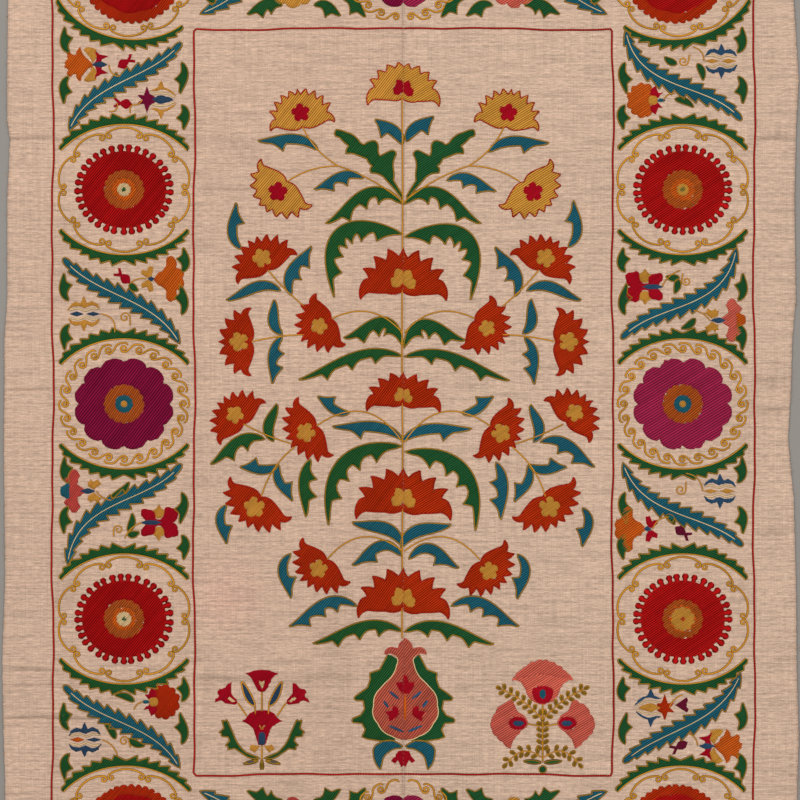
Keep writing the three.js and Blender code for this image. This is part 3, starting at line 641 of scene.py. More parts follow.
class Needle:
    """Works stitches on one panel and keeps them by thread until the pieces are made."""

    def __init__(self, side, group):
        self.side = side
        self.group = group
        self.random = np.random.default_rng(SEED * 10 + side)
        self.work = {}
        silk = settings("silk")
        self.pitch, self.rise, self.width = silk.pitch / MM, silk.rise / MM, silk.outline / MM

    def place(self, line):
        """From u and v to x and y of the world."""
        return SEAM_X + self.side * line.real + 1j * line.imag

    def keep(self, thread, *block):
        self.work.setdefault(thread, []).append(block)

    def couch(self, thread, *loops, over=(), lean=0.0, rise=1.0, pitch=1.0):
        """Fills the inside of closed loops, by the even-odd rule, with parallel rows of laid thread, but
        leaves out the loops of what lies over them, and tucks the rows a little under those. Each row is
        cut where its middle line crosses the loops, and both its ends slant as the edge there."""
        pitch = pitch * self.pitch
        angle = ROW_LEAN[self.side] + lean + self.random.uniform(-3, 3)
        turn = np.exp(-1j * math.radians(angle))
        turned = [self.place(np.asarray(loop)) * turn for loop in (*loops, *over)]
        a = np.concatenate(turned)
        b = np.concatenate([np.roll(loop, -1) for loop in turned])
        kind = np.maximum(np.arange(len(turned)) - len(loops) + 1, 0)
        kind = np.repeat(kind, [len(loop) for loop in turned])
        first, last = math.floor(a.imag.min() / pitch), math.ceil(a.imag.max() / pitch)
        level = (np.arange(first, last + 1) + 0.137) * pitch
        row, edge = np.nonzero((a.imag <= level[:, None]) != (b.imag <= level[:, None]))
        slope = (b.real - a.real)[edge] / (b.imag - a.imag)[edge]
        reach = a.real[edge] + (level[row] - a.imag[edge]) * slope
        order = np.lexsort((reach, row))
        row, edge, slope, reach = row[order], edge[order], slope[order], reach[order]
        odd = np.cumsum(kind[edge][:, None] == np.arange(kind[-1] + 1), axis=0) % 2 == 1
        inside = odd[:, 0] & ~odd[:, 1:].any(axis=1)
        before = np.append(False, inside[:-1])
        start, end = np.nonzero(inside & ~before)[0], np.nonzero(~inside & before)[0]
        reach[start] -= TUCK * (kind[edge[start]] > 0)
        reach[end] += TUCK * (kind[edge[end]] > 0)
        long = reach[end] - reach[start] > SHORTEST_ROW
        start, end = start[long], end[long]
        if not len(start):
            return
        slope = np.clip(slope, -1.3, 1.3)
        count = np.ceil((reach[end] - reach[start]) / STITCH_STEP).astype(int) + 1
        line = np.repeat(np.arange(len(start)), count)
        at = np.arange(count.sum()) - np.repeat(np.cumsum(count) - count, count)
        share = at / (count[line] - 1)
        along = reach[start][line] * (1 - share) + reach[end][line] * share
        slant = slope[start][line] * (1 - share) + slope[end][line] * share
        centre = (along + 1j * level[row[start]][line]) / turn
        across = (slant + 1j) / turn * pitch * HALF_ROW
        at_end = (at == 0) | (at == count[line] - 1)
        height = rise * self.rise * np.where(at_end, 0.7, 1 + self.random.uniform(-0.1, 0.1, len(line)))
        shade = self.random.uniform(0, 1, len(start))[line]
        self.keep(thread, centre, across, height, line, np.zeros(len(line), bool), along, shade)

    def chain(self, thread, path, width=None, closed=False, rise=1.2):
        """Chain stitch along a path: a ribbon that is wider and narrower by turns, a link for each pair."""
        path = self.place(np.asarray(path))
        if closed:
            path = np.append(path, path[0])
        path = path[np.append(True, np.abs(np.diff(path)) > 1e-6)]
        run = np.append(0, np.cumsum(np.abs(np.diff(path))))
        count = max(2, 2 * round(run[-1] / HALF_LINK / 2))
        along = np.linspace(0, run[-1], count + 1)[: count if closed else count + 1]
        centre = np.interp(along, run, path.real) + 1j * np.interp(along, run, path.imag)
        if closed:
            ahead = np.roll(centre, -1) - np.roll(centre, 1)
        else:
            ahead = np.gradient(centre)
        beat = np.where(np.arange(len(centre)) % 2 == 0, 1.0, -1.0)
        half = (width or self.width) / 2 * (1 + 0.13 * beat)
        across = 1j * ahead / np.maximum(np.abs(ahead), 1e-9) * half
        height = self.rise * rise * (1 + 0.12 * beat)
        if not closed:
            across[[0, -1]] *= 0.6
        same = np.zeros(len(centre), int)
        shade = np.full(len(centre), self.random.uniform(0, 1))
        self.keep(thread, centre, across, height, same, np.full(len(centre), closed), along, shade)

    def stitch(self, thread, start, end, width, shape=(0.5, 0.95, 1.0, 0.85, 0.45), rise=1.1):
        """One thick satin stitch. Its width along the way is the given one times the shape's shares."""
        centre = self.place(np.linspace(start, end, len(shape)))
        ahead = (centre[-1] - centre[0]) / abs(centre[-1] - centre[0])
        across = 1j * ahead * width / 2 * np.array(shape)
        height = self.rise * rise * np.append(np.append(0.6, np.ones(len(shape) - 2)), 0.6)
        same = np.zeros(len(shape), int)
        shade = np.full(len(shape), self.random.uniform(0, 1))
        self.keep(thread, centre, across, height, same, same > 0, abs(centre - centre[0]), shade)

    def bordered(self, thread, edge_thread, outline, width=None, pitch=1.0):
        """A filled motif with chain stitch round its edge."""
        self.couch(thread, outline, pitch=pitch)
        self.chain(edge_thread, outline, width, closed=True)

    def finish(self):
        """Makes a piece for each thread that was used."""
        for thread, blocks in self.work.items():
            name = f"{self.group}_{thread}_{PANEL[self.side]}"
            obj = thread_mesh(name, blocks)
            obj.data.materials.append(silk_material(thread))
            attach(obj, "root")
        self.work = {}


def thread_mesh(name, blocks):
    """Closed slim tubes: at each ring the section is laid across the thread, on the cloth, and rings of
    one line are joined by quads. An open line is capped at both ends, and a closed one runs round."""
    start = np.cumsum([0] + [block[3][-1] + 1 for block in blocks[:-1]])
    line = np.concatenate([block[3] + first for block, first in zip(blocks, start)])
    centre, across, height, closed, along, shade = (
        np.concatenate([block[i] for block in blocks]) for i in (0, 1, 2, 4, 5, 6)
    )
    side, up = np.array(SECTION).T
    place = centre[:, None] + across[:, None] * side
    z = lie(place.real, place.imag) + ROOT + (height[:, None] - ROOT) * up
    points = np.stack([place.real, place.imag, z], -1).reshape(-1, 3)

    ring = np.arange(len(line))
    first = np.searchsorted(line, line, "left")
    last = np.searchsorted(line, line, "right") - 1
    after = np.where(ring < last, ring + 1, first)
    joined = (ring < last) | closed
    here, there = 4 * ring[joined], 4 * after[joined]
    walls = [
        np.stack([here + j, there + j, there + (j + 1) % 4, here + (j + 1) % 4], -1) for j in range(4)
    ]
    front = 4 * ring[(ring == first) & ~closed]
    back = 4 * ring[(ring == last) & ~closed]
    caps = [
        np.stack([front, front + 1, front + 2, front + 3], -1),
        np.stack([back + 3, back + 2, back + 1, back], -1),
    ]
    uv = np.stack([np.repeat(along * MM, 4), np.tile((side + 1) / 2, len(line))], -1)
    return make_mesh(name, points, np.concatenate(walls + caps), uv, shade=np.repeat(shade, 4))


# Materials


class Shader:
    """A material's node tree, with short ways to add a node and link it."""

    def __init__(self, name):
        self.material = bpy.data.materials.new(name)
        self.material.use_nodes = True
        self.tree = self.material.node_tree
        self.bsdf = self.tree.nodes["Principled BSDF"]

    def add(self, kind, inputs=None, **fields):
        node = self.tree.nodes.new("ShaderNode" + kind)
        for key, value in fields.items():
            setattr(node, key, value)
        for key, value in (inputs or {}).items():
            self.set(node.inputs[key], value)
        return node

    def set(self, socket, value):
        if isinstance(value, bpy.types.NodeSocket):
            self.tree.links.new(value, socket)
        else:
            socket.default_value = value

    def math(self, operation, a, b=0.0, c=0.0):
        node = self.add("Math", {0: a, 1: b, 2: c}, operation=operation)
        return node.outputs[0]

    def object_place(self, scale):
        """Object coordinates in metres, stretched by a scale on each axis."""
        place = self.add("TexCoord").outputs["Object"]
        return self.add("Mapping", {"Vector": place, "Scale": scale}).outputs["Vector"]

    def noise(self, vector, scale=1.0, detail=2.0, rough=0.5):
        sockets = {"Vector": vector, "Scale": scale, "Detail": detail, "Roughness": rough}
        return self.add("TexNoise", sockets).outputs["Fac"]

    def ramp(self, value, low, high, to_low, to_high):
        """Maps low..high to to_low..to_high, clamped."""
        node = self.add(
            "MapRange",
            {"Value": value, "From Min": low, "From Max": high, "To Min": to_low, "To Max": to_high},
        )
        return node.outputs["Result"]

    def mix(self, factor, a, b):
        node = self.add("Mix", data_type="RGBA")
        self.set(node.inputs[0], factor)
        self.set(node.inputs[6], a)
        self.set(node.inputs[7], b)
        return node.outputs[2]

    def tone(self, value, source, low, high, to_low, to_high):
        """Multiplies a value by a ramp of a source."""
        return self.math("MULTIPLY", value, self.ramp(source, low, high, to_low, to_high))

    def finish(self, colour, value, **sockets):
        """Sets the base colour at a value, and the other sockets of the surface."""
        toned = self.add("HueSaturation", {"Value": value, "Color": colour})
        self.set(self.bsdf.inputs["Base Color"], toned.outputs["Color"])
        for name, amount in sockets.items():
            self.set(self.bsdf.inputs[name.replace("_", " ")], amount)
        return self.material


def silk_material(thread):
    """Silk floss: the dye of each panel, uneven from row to row and in patches, darkened towards the
    grooves between rows as painted shade, with fine strands along the thread and the slant of its ties in
    colour and bump, and a soft sheen."""
    name = "silk_" + thread
    if name in bpy.data.materials:
        return bpy.data.materials[name]
    shader = Shader(name)
    _, left, right = THREADS[thread]
    place = shader.add("TexCoord").outputs["Object"]
    x = shader.add("SeparateXYZ", {"Vector": place}).outputs["X"]
    is_right = shader.math("GREATER_THAN", x, SEAM_X * MM)
    dye = shader.mix(is_right, (*srgb(*left), 1), (*srgb(*right), 1))

    uv = shader.add("UVMap", uv_map="thread").outputs["UV"]
    parts = shader.add("SeparateXYZ", {"Vector": uv})
    along, across = parts.outputs["X"], parts.outputs["Y"]
    shade = shader.add("Attribute", attribute_name="shade").outputs["Fac"]
    edge = shader.math("ABSOLUTE", shader.math("MULTIPLY_ADD", across, 2.0, -1.0))
    is_line = thread in LINE_THREADS
    pitch = 2 * HALF_LINK * MM if is_line else 4.2 * MM
    slant = shader.math("MULTIPLY", edge if is_line else across, 0.5 if is_line else 0.9)
    turns = shader.math("ADD", shader.math("DIVIDE", along, pitch), slant)
    tie = shader.math("SINE", shader.math("MULTIPLY", turns, 2 * math.pi))
    strand_at = shader.add(
        "CombineXYZ",
        {
            "X": shader.math("MULTIPLY", along, 130.0),
            "Y": shader.math("MULTIPLY", across, 3.2),
            "Z": shader.math("MULTIPLY", shade, 40.0),
        },
    ).outputs["Vector"]
    strand = shader.noise(strand_at, detail=3.0, rough=0.6)
    patch = shader.noise(place, 16.0, 3.0, 0.55)
    value = shader.ramp(shade, 0, 1, 1.0, 1.26)
    value = shader.tone(value, patch, 0.3, 0.7, 0.88, 1.1)
    value = shader.tone(value, strand, 0.3, 0.7, 0.9, 1.1)
    value = shader.tone(value, tie, -1, 1, 0.9, 1.05)
    # Painted shade: darker towards both edges of each thread, where the grooves between rows lie.
    value = shader.tone(value, edge, 0.3, 0.82, 1.0, 1 - settings("silk").painted_groove_shade)
    height = shader.math("MULTIPLY_ADD", tie, 0.3, strand)
    bump = shader.add("Bump", {"Height": height, "Strength": 0.6, "Distance": 0.25 * MM})
    tint = tuple(np.array(srgb(*left)) / max(srgb(*left))) + (1,)
    return shader.finish(
        dye, value, Normal=bump.outputs["Normal"], Roughness=0.6,
        Specular_IOR_Level=0.35, Specular_Tint=tint, Sheen_Weight=0.06, Sheen_Tint=tint,
    )


def cotton_material(side):
    """Hand-woven cotton: weft slubs as streaks across, faint warp lines along, cloudy patches, one pale
    pink stain, painted shade in the troughs of the creases, and the crossing threads of a plain weave as
    bump."""
    shader = Shader("cotton_" + PANEL[side])
    cloth = settings("cloth")
    colour = (*getattr(cloth, PANEL[side]), 1)
    fine = shader.noise(shader.object_place((105, 620, 1)), detail=2.0)
    slub = shader.noise(shader.object_place((16, 300, 1)), detail=3.0, rough=0.6)
    warp = shader.noise(shader.object_place((560, 9, 1)), detail=2.0)
    grain = shader.noise(shader.object_place((620, 520, 1)), detail=2.0)
    cloud = shader.noise(shader.object_place((1, 1, 1)), 5.0, 4.0, 0.6)
    weight = cloth.slub
    value = shader.ramp(fine, 0.3, 0.7, 1 - 0.28 * weight, 1 + 0.22 * weight)
    value = shader.tone(value, grain, 0.3, 0.7, 1 - 0.16 * weight, 1 + 0.14 * weight)
    value = shader.tone(value, slub, 0.34, 0.66, 1 - 0.25 * weight, 1 + 0.19 * weight)
    value = shader.tone(value, warp, 0.3, 0.7, 1 - 0.1 * weight, 1 + 0.08 * weight)
    value = shader.tone(value, cloud, 0.3, 0.7, 0.965, 1.03)
    fold = shader.add("Attribute", attribute_name="fold").outputs["Fac"]
    # Painted shade: the cotton is made darker, down to 0.68, where a point lies in a crease's trough.
    value = shader.tone(value, fold, 0, 1, 1, 0.68)
    dirt = shader.ramp(slub, 0.58, 0.72, 0.0, 0.22)
    colour = shader.mix(dirt, colour, (*srgb(164, 116, 92), 1))
    place = shader.add("TexCoord").outputs["Object"]
    shift = (-STAIN[0] * MM, -STAIN[1] * MM, 0)
    stain_at = shader.add("Mapping", {"Vector": place, "Location": shift}).outputs["Vector"]
    away = shader.add("VectorMath", {0: stain_at}, operation="LENGTH").outputs["Value"]
    ragged = shader.math("MULTIPLY_ADD", cloud, 0.05, away)
    stain = shader.ramp(ragged, 0.035, 0.095, 0.32, 0.0)
    colour = shader.mix(stain, colour, (*srgb(222, 168, 150), 1))

    place = shader.add("SeparateXYZ", {"Vector": place})
    warp_wave, weft_wave = (
        shader.math("SINE", shader.math("MULTIPLY", place.outputs[axis], 2 * math.pi / (pitch * MM)))
        for axis, pitch in (("X", WARP_PITCH), ("Y", WEFT_PITCH))
    )
    weave = shader.math("MULTIPLY", warp_wave, weft_wave)
    height = shader.math("MULTIPLY_ADD", weave, 0.35, shader.math("ADD", fine, slub))
    bump = shader.add("Bump", {"Height": height, "Strength": 0.5, "Distance": cloth.weave})
    return shader.finish(
        colour, value, Normal=bump.outputs["Normal"], Roughness=0.92,
        Specular_IOR_Level=0.15, Sheen_Weight=0.1,
    )


def floor_material():
    """A plain matt floor with the faintest cloudiness."""
    shader = Shader("floor_paint")
    cloud = shader.noise(shader.object_place((1, 1, 1)), 3.0, 3.0)
    value = shader.ramp(cloud, 0.3, 0.7, 0.97, 1.03)
    return shader.finish((*settings("stage").floor, 1), value, Roughness=0.9)


# Outlines of motifs


def stretches(nodes, closed=True, steps=6):
    """A line through nodes (u, v) or (u, v, bow). From one node to the next it is a parabola whose middle
    stands bow times the straight length to the left of it."""
    table = np.array([(*node, 0)[:3] for node in nodes], float)
    start = table[:, 0] + 1j * table[:, 1]
    end, bow = np.roll(start, -1), table[:, 2]
    if not closed:
        start, end, bow = start[:-1], end[:-1], bow[:-1]
    share = np.arange(steps) / steps
    line = start[:, None] + (end - start)[:, None] * (share + 4j * bow[:, None] * share * (1 - share))
    return line.ravel() if closed else np.append(line.ravel(), end[-1])


def placed(line, u, v, turn):
    """A line drawn round its own foot, set at (u, v) and turned outward from upright, in degrees."""
    return complex(u, v) + line * np.exp(-1j * math.radians(turn))


def mirrored(line):
    """A line and its mirror image over the v axis, as one closed outline that starts on the axis."""
    return np.concatenate([line, -np.conj(line[::-1])[1:-1]])


def bowed(base, tip, bow, share, sway=0.0):
    """Points of a bowed line at shares of its length, and its unit normals to the left: a parabola whose
    middle stands bow to the left of the straight way. A sway moves the bulge to the base's half, so that
    the tip turns back the other way."""
    way = tip - base
    unit = way / abs(way)
    line = base + way * share + 4j * unit * bow * share * (1 - share) * (1 + sway * (1 - 2 * share))
    slope = (1 - 2 * share) * (1 + sway * (1 - 2 * share)) - 2 * sway * share * (1 - share)
    ahead = way + 4j * unit * bow * slope
    return line, 1j * ahead / np.abs(ahead)


def leaf(base, tip, bow, width, spurs, sway=0.8, barbed=False):
    """A leaf on a bowed midrib. Its half width swells as a sine, and on one side stand the spurs: each
    rises in a long hollow curve and drops short and steep. It leans to the tip, or, barbed, to the base."""
    full = -1 if bow < 0 else 1  # the side that the smooth edge stands on
    length = abs(tip - base)
    peaks = (2 * np.arange(1, spurs + 1) + (0.4 if spurs == 1 else 0)) / max(4, 2 * spurs + 2)
    climb, drop = 16 / length, 5 / length
    if barbed:
        climb, drop = drop, climb

    def half(share):
        return (width / 2) * np.sin(math.pi * np.clip(share, 0, 1) ** 0.8) ** 0.85 + 0.9

    share = np.linspace(0, 1, 24)
    line, normal = bowed(base, tip, bow, share, sway)
    smooth = line + full * normal * half(share) * 0.95
    near = [peaks + at for at in (-climb, -0.6 * climb, -0.3 * climb, -0.1 * climb, 0.0)]
    near += [peaks + at for at in (0.1 * drop, 0.3 * drop, 0.6 * drop, drop)]
    share = np.unique(np.concatenate([np.linspace(0, 1, 24), *near]))
    share = share[(share >= 0) & (share <= 1)]
    reach = half(share) * (0.6 if spurs else 0.9)
    for peak in peaks:
        up = np.clip((share - peak + climb) / climb, 0, 1)
        down = np.clip((peak + drop - share) / drop, 0, 1)
        reach += np.where(share <= peak, up, down) ** 1.6 * (4 + 0.42 * width)
    line, normal = bowed(base, tip, bow, share, sway)
    spurred = line - full * normal * reach
    return np.concatenate([smooth, spurred[::-1][1:-1]])


def serrated_leaf(base, tip, bow, sway, width, teeth):
    """A leaf with saw teeth on both sides that lean to its tip. Its last parts at both ends are plain."""
    points, hollows = (np.arange(1, teeth + 1) - 0.02) / teeth, np.arange(teeth) / teeth
    share = np.unique(np.concatenate([np.linspace(0, 1, 4 * teeth + 1), points, hollows]))
    line, normal = bowed(base, tip, bow, share, sway)
    half = (width / 2) * np.sin(math.pi * share) ** 0.5 + 0.8
    saw = ((share * teeth) % 1) ** 0.9
    reach = half * (0.54 + 0.56 * saw)
    return np.concatenate([line + normal * reach, (line - normal * reach)[::-1][1:-1]])


def half_fan(half, height, teeth, droop, hollow):
    """The right half of a half-carnation, from its crown down to the calyx at its foot. Tooth tips stand
    on an ellipse over the fan's spread. The notches between lie at the hollow share of it, nearer the
    crown's side of the gap at first and nearer the far side at last. Then comes the side point, which
    droops below the foot by the droop's share of the half width."""
    per_side = (teeth + 1) // 2
    step = FAN_SPREAD / (teeth - 1)
    tips = np.arange(per_side) * step + (0 if teeth % 2 else step / 2)
    nodes = [] if teeth % 2 else [(0, (hollow + 0.02) * height, 0.03)]
    for i, tip in enumerate(tips):
        reach = 1.02 + 0.02 * i
        a = math.radians(tip)
        nodes.append((half * reach * math.sin(a), height * reach * math.cos(a), -0.06))
        if i < per_side - 1:
            a = math.radians(tip + step * (0.38 + 0.08 * i))
            nodes.append((hollow * half * math.sin(a), hollow * height * math.cos(a), 0.07))
    belly = 0.17 - droop if droop > 0 else 0.1
    nodes += [
        (0.8 * half, 0.3 * height, 0.1),
        (0.95 * half, 0.22 * height, 0.12),
        (1.0 * half, -droop * half, -0.12),
        (0.8 * half, belly * half, 0.02),
        (0.4 * half, -0.05 * half, 0.12),
        (0, 0, 0),
    ]
    return stretches(nodes, closed=False, steps=4)


def lobed(centre, rx, ry, lobes, hollow, start=0.0, end=360.0, sharp=0.7, turn=0.0):
    """A lobed outline round a centre from angle start to end, clockwise from straight up: the ellipse,
    drawn in to the hollow fraction between two lobes. A low sharp gives wide lobes and narrow gaps, and
    the turn moves the first lobe off the top."""
    count = max(24, int(lobes * 8 * (end - start) / 360))
    angle = np.radians(np.linspace(start, end, count, endpoint=end - start < 360))
    reach = hollow + (1 - hollow) * np.abs(np.cos(lobes * (angle - math.radians(turn)) / 2)) ** sharp
    return centre + reach * (rx * np.sin(angle) + 1j * ry * np.cos(angle))


# Motifs


def fan(needle, row, thread, heart_thread):
    """A half-carnation with its lobed heart and red edge. One on the seam is worked as a half on each
    panel."""
    at = dict(zip(FAN_COLUMNS, row))
    hollow = 0.87 if thread == "gold" else 0.81
    half = half_fan(at["half"], at["height"], at["teeth"], 0.2 if at["u"] == 0 else 0.0, hollow)
    if at["u"] == 0:
        foot = complex(0, at["v"] - (2 if needle.side == RIGHT else 0))
        heart = stretches(HALF_HEART) * at["height"] / 60
        outline = np.append(half, hollow * 1j * at["height"]) if at["teeth"] % 2 == 0 else half
        needle.couch(thread, foot + outline, over=[foot + heart])
        needle.couch(heart_thread, foot + heart, pitch=FINE)
        needle.chain("madder", foot + half, 2.0)
        return
    if needle.side == RIGHT:
        at["u"] += at["du"]
        at["v"] += at["dv"]
    outline = placed(mirrored(half), at["u"], at["v"], at["turn"])
    radius = 0.3 * at["half"]
    centre = 0.38j * at["height"]
    heart = lobed(centre, radius, radius, 5, 0.68, start=36, end=396)
    heart = placed(heart, at["u"], at["v"], at["turn"])
    needle.couch(thread, outline, over=[heart])
    needle.couch(heart_thread, heart, pitch=FINE)
    needle.chain("madder", outline, 2.0, closed=True)
    if heart_thread == "gold":
        stalk = placed(np.array([0, 0.1j, 0.2j]) * at["height"], at["u"], at["v"], at["turn"])
        needle.chain("madder", stalk, 2.4, rise=1.4)
        needle.chain("madder", stalk[1:], 5.0, rise=1.5)


def tree_leaf(needle, row):
    """A leaf of the tree. The spurs of a green one lean to its tip, and those of a teal one to its base."""
    at = dict(zip(LEAF_COLUMNS, row))
    drift = complex(at["du"], at["dv"]) if needle.side == RIGHT else 0
    base = complex(at["base_u"], at["base_v"]) + drift
    tip = complex(at["tip_u"], at["tip_v"]) + drift
    if at["base_u"] == 0:
        base = complex(1.5, base.imag)
    thread = at["threads"][needle.side]
    sway = 0.0 if abs(at["bow"]) > 30 else 0.9
    outline = leaf(base, tip, at["bow"], at["width"], at["spurs"], sway, barbed=thread == "teal")
    needle.bordered(thread, "edging", outline)


def scroll(needle, centre, rx, ry, spirals, start=0.0, end=360.0):
    """A running scroll round a centre: each unit passes over the outside of one spiral and curls into the
    next one, whose coil shrinks evenly. x runs round the ring and y outward from its middle radius."""
    pitch = math.pi * (rx + ry) / spirals
    turn = np.radians(np.linspace(-90, 350, 20))
    coil = pitch + np.linspace(5.0, 1.2, 20) * np.exp(1j * turn)
    wave = stretches(
        [(-5, 5, 0.2), (2, 8, 0.12), (0.5 * pitch, 4, -0.06), (0.78 * pitch, -3, -0.12), (pitch, -5, 0)],
        closed=False, steps=3,
    )
    unit = np.concatenate([wave, coil[1:]])
    for k in range(spirals):
        middle = start + 360 * k / spirals
        if middle > end - 360 / spirals + 1e-6:
            break
        angle = math.radians(middle) + 2 * unit.real / (rx + ry)
        path = centre + (rx + unit.imag) * np.sin(angle) + 1j * (ry + unit.imag) * np.cos(angle)
        needle.chain("ochre", path, 3.2)


def arc_ring(needle, centre, rx, ry, arcs):
    """A ring of arcs whose ends curl inward side by side. Each arc's crown is a parabola, and each curl
    goes round once and a half while its radius shrinks."""
    curl, inward = 5.0, 9.0
    reach = math.pi * (rx - inward) / arcs
    turn = np.radians(np.linspace(90, -330, 18))
    spiral = complex(reach - curl - 0.6, -inward) + np.linspace(curl, 1.2, 18) * np.exp(1j * turn)
    x = np.linspace(0, spiral[0].real, 7)
    crown = x + 1j * (spiral[0].imag * (x / x[-1]) ** 2)
    half = np.concatenate([crown, spiral[1:]])
    unit = np.concatenate([-np.conj(half[::-1]), half[1:]])
    for k in range(arcs):
        angle = 2 * math.pi * k / arcs + unit.real / (rx - inward)
        path = centre + (rx + unit.imag) * np.sin(angle) + 1j * (ry + unit.imag) * np.cos(angle)
        needle.chain("ochre", path, 3.4)


def crescent(needle, centre, sign, turn):
    """A toothed crescent over or under a roundel: a plain inner arc with a fine line, and an outer edge
    whose saw teeth lean away from the middle. It ends in points, and may be turned outward."""
    teeth = CRESCENT_TEETH
    points = (np.arange(1, teeth // 2 + 1) * 2 / teeth - 0.006) / 2
    share = np.unique(np.concatenate([np.linspace(0, 1, 4 * teeth + 1), points + 0.5, 0.5 - points]))
    saw = ((np.abs(2 * share - 1) * teeth / 2) % 1) ** 1.2
    thick = CRESCENT_DEPTH * np.sin(math.pi * np.clip(share, 0.002, 0.998)) ** 0.3
    reach = thick * (0.54 + 0.56 * saw)
    angle = np.radians(CRESCENT_SPREAD * (2 * share - 1))
    turned = np.exp(-1j * sign * math.radians(turn))
    inner = CRESCENT_RX * np.sin(angle) + 1j * sign * CRESCENT_RY * np.cos(angle)
    outer = inner + reach * (np.sin(angle) + 1j * sign * np.cos(angle))
    inner, outer = centre + inner * turned, centre + outer * turned
    outline = np.concatenate([outer, inner[::-1]])
    needle.couch("green", outline)
    needle.chain("edging", outer, 2.6)
    needle.chain("ochre", inner, 2.4)


def disc(needle, centre, rx, ry, heart):
    """A red disc with round-headed teeth, each a thick stitch, and two orange rings round its heart."""
    body = lobed(centre, 0.86 * rx, 0.86 * ry, 1, 1)
    heart_thread, radius, spot = heart
    ring = lobed(centre, *RING_RADII, 16, 0.92)
    middle = lobed(centre, max(18, radius + 3), max(17, radius + 3), 12, 0.86)
    pale = lobed(centre, radius, radius, 10, 0.88)
    needle.couch("red", body, over=[ring])
    needle.couch("rust", ring, over=[middle])
    needle.couch("amber", middle, over=[pale])
    needle.couch(heart_thread, pale, pitch=FINE)
    needle.couch(spot, lobed(centre, 4.2, 4.2, 1, 1), rise=1.3, pitch=FINE)
    for k in range(DISC_TEETH):
        angle = 2 * math.pi * (k + needle.random.uniform(0.3, 0.5)) / DISC_TEETH
        away = rx * math.sin(angle) + 1j * ry * math.cos(angle)
        width = needle.random.uniform(10.2, 11.4)
        needle.stitch("red", centre + 0.82 * away, centre + 1.01 * away, width, DISC_TOOTH)


def rosette(needle, centre, rx, ry, start=0.0, end=360.0):
    """A purple rosette of twelve lobes with an orange ring, a teal ring and a gold eye."""
    petals = lobed(centre, rx, ry, 12, 0.9, start, end, 0.6, turn=15)
    ring = lobed(centre, *RING_RADII, 16, 0.93, start, end)
    inner = lobed(centre, 13, 13, 12, 0.93, start, end)
    eye = lobed(centre, 5, 5, 1, 1, start, end)
    needle.couch("purple", petals, over=[ring], pitch=1.2)
    needle.couch("rust", ring, over=[inner], lean=5)
    needle.couch("teal", inner, over=[eye], pitch=FINE)
    needle.couch("gold", eye, pitch=FINE)
    scroll_start = start + 180 / SPIRALS if end - start < 360 else start
    scroll(needle, centre, rx + SCROLL_OFF, ry + SCROLL_OFF, SPIRALS, scroll_start, end)


def corner_disc(needle, centre, rx, ry):
    """A roundel at a corner of the border: a red middle and a finely scalloped orange band."""
    body = lobed(centre, rx, ry, 40, 0.95, sharp=0.8)
    middle = lobed(centre, 0.8 * rx, 0.8 * ry, 9, 0.94, turn=12)
    ring = lobed(centre, 26, 25, 12, 0.9)
    eye = lobed(centre, 7, 7, 1, 1)
    needle.couch("scarlet", body, over=[middle])
    needle.couch("red", middle, over=[ring])
    needle.couch("amber", ring, over=[eye])
    needle.couch("gold", eye)


def long_leaf(needle, base, tip, bow, sway):
    """The long serrated leaf of a cell with its pale midrib."""
    outline = serrated_leaf(base, tip, bow, sway, LONG_LEAF_WIDTH, LONG_LEAF_TEETH)
    needle.bordered("teal", "edging", outline, width=2.5)
    rib, _ = bowed(base, tip, bow, np.linspace(0.03, 0.93, 30), sway)
    needle.chain("cream", rib, 1.8, rise=1.3)


def cell(needle, index):
    """The small leaves at the corners of a border cell."""
    lift = 1 if index % 2 == 0 else -1
    middle = complex(ROUNDEL_U, CELLS_V[index])
    for base_u, base_v, tip_u, tip_v, bow in CORNER_LEAVES:
        base, tip = complex(base_u, lift * base_v), complex(tip_u, lift * tip_v)
        outline = leaf(middle + base, middle + tip, lift * bow, 11, 1)
        needle.bordered("green", "edging", outline, 2.2, FINE)


def draw(needle, parts, threads, u, v, turn=0.0):
    """Works the parts of a motif at (u, v), turned outward. Later parts lie over the ones before."""
    shapes = []
    for kind, thread, nodes in parts:
        thread = threads[thread] if threads else thread
        if kind == "line":
            path = stretches(nodes, closed=False, steps=2)
            for line in (path, -np.conj(path)) if abs(path.real).max() > 0.1 else (path,):
                needle.chain(thread, placed(line, u, v, turn), 2.6, rise=1.3)
        elif kind == "whole":
            shapes.append((thread, [placed(mirrored(stretches(nodes, closed=False)), u, v, turn)]))
        else:
            both = stretches(nodes), -np.conj(stretches(nodes))
            shapes.append((thread, [placed(shape, u, v, turn) for shape in both]))
    for order, (thread, loops) in enumerate(shapes):
        over = [loop for _, later in shapes[order + 1:] for loop in later]
        for loop in loops:
            pitch = 1.0 if thread in BOLD_THREADS else FINE
            needle.couch(thread, loop, over=over, rise=1 + 0.04 * order, pitch=pitch)


def curl(needle, centre, radius, entry, sense):
    """A tendril's coil: once and a third round while its radius shrinks, with a short tail where it is
    entered at an angle from the u axis."""
    angle = np.radians(entry + sense * np.linspace(0, 480, 22))
    coil = centre + np.linspace(radius, 1.6, 22) * np.exp(1j * angle)
    start = np.exp(1j * math.radians(entry))
    tail = centre + radius * start * (1 - 1j * sense * np.array([1.5, 0.9, 0.4]))
    needle.chain("ochre", np.concatenate([tail, coil]), 2.3)


def small_leaf(needle, base, tip):
    """A plain little leaf beside a flower of the border."""
    outline = leaf(base, tip, 0.12 * abs(tip - base), SMALL_LEAF_WIDTH, 0, sway=0)
    needle.bordered("green", "edging", outline, 2.0, FINE)


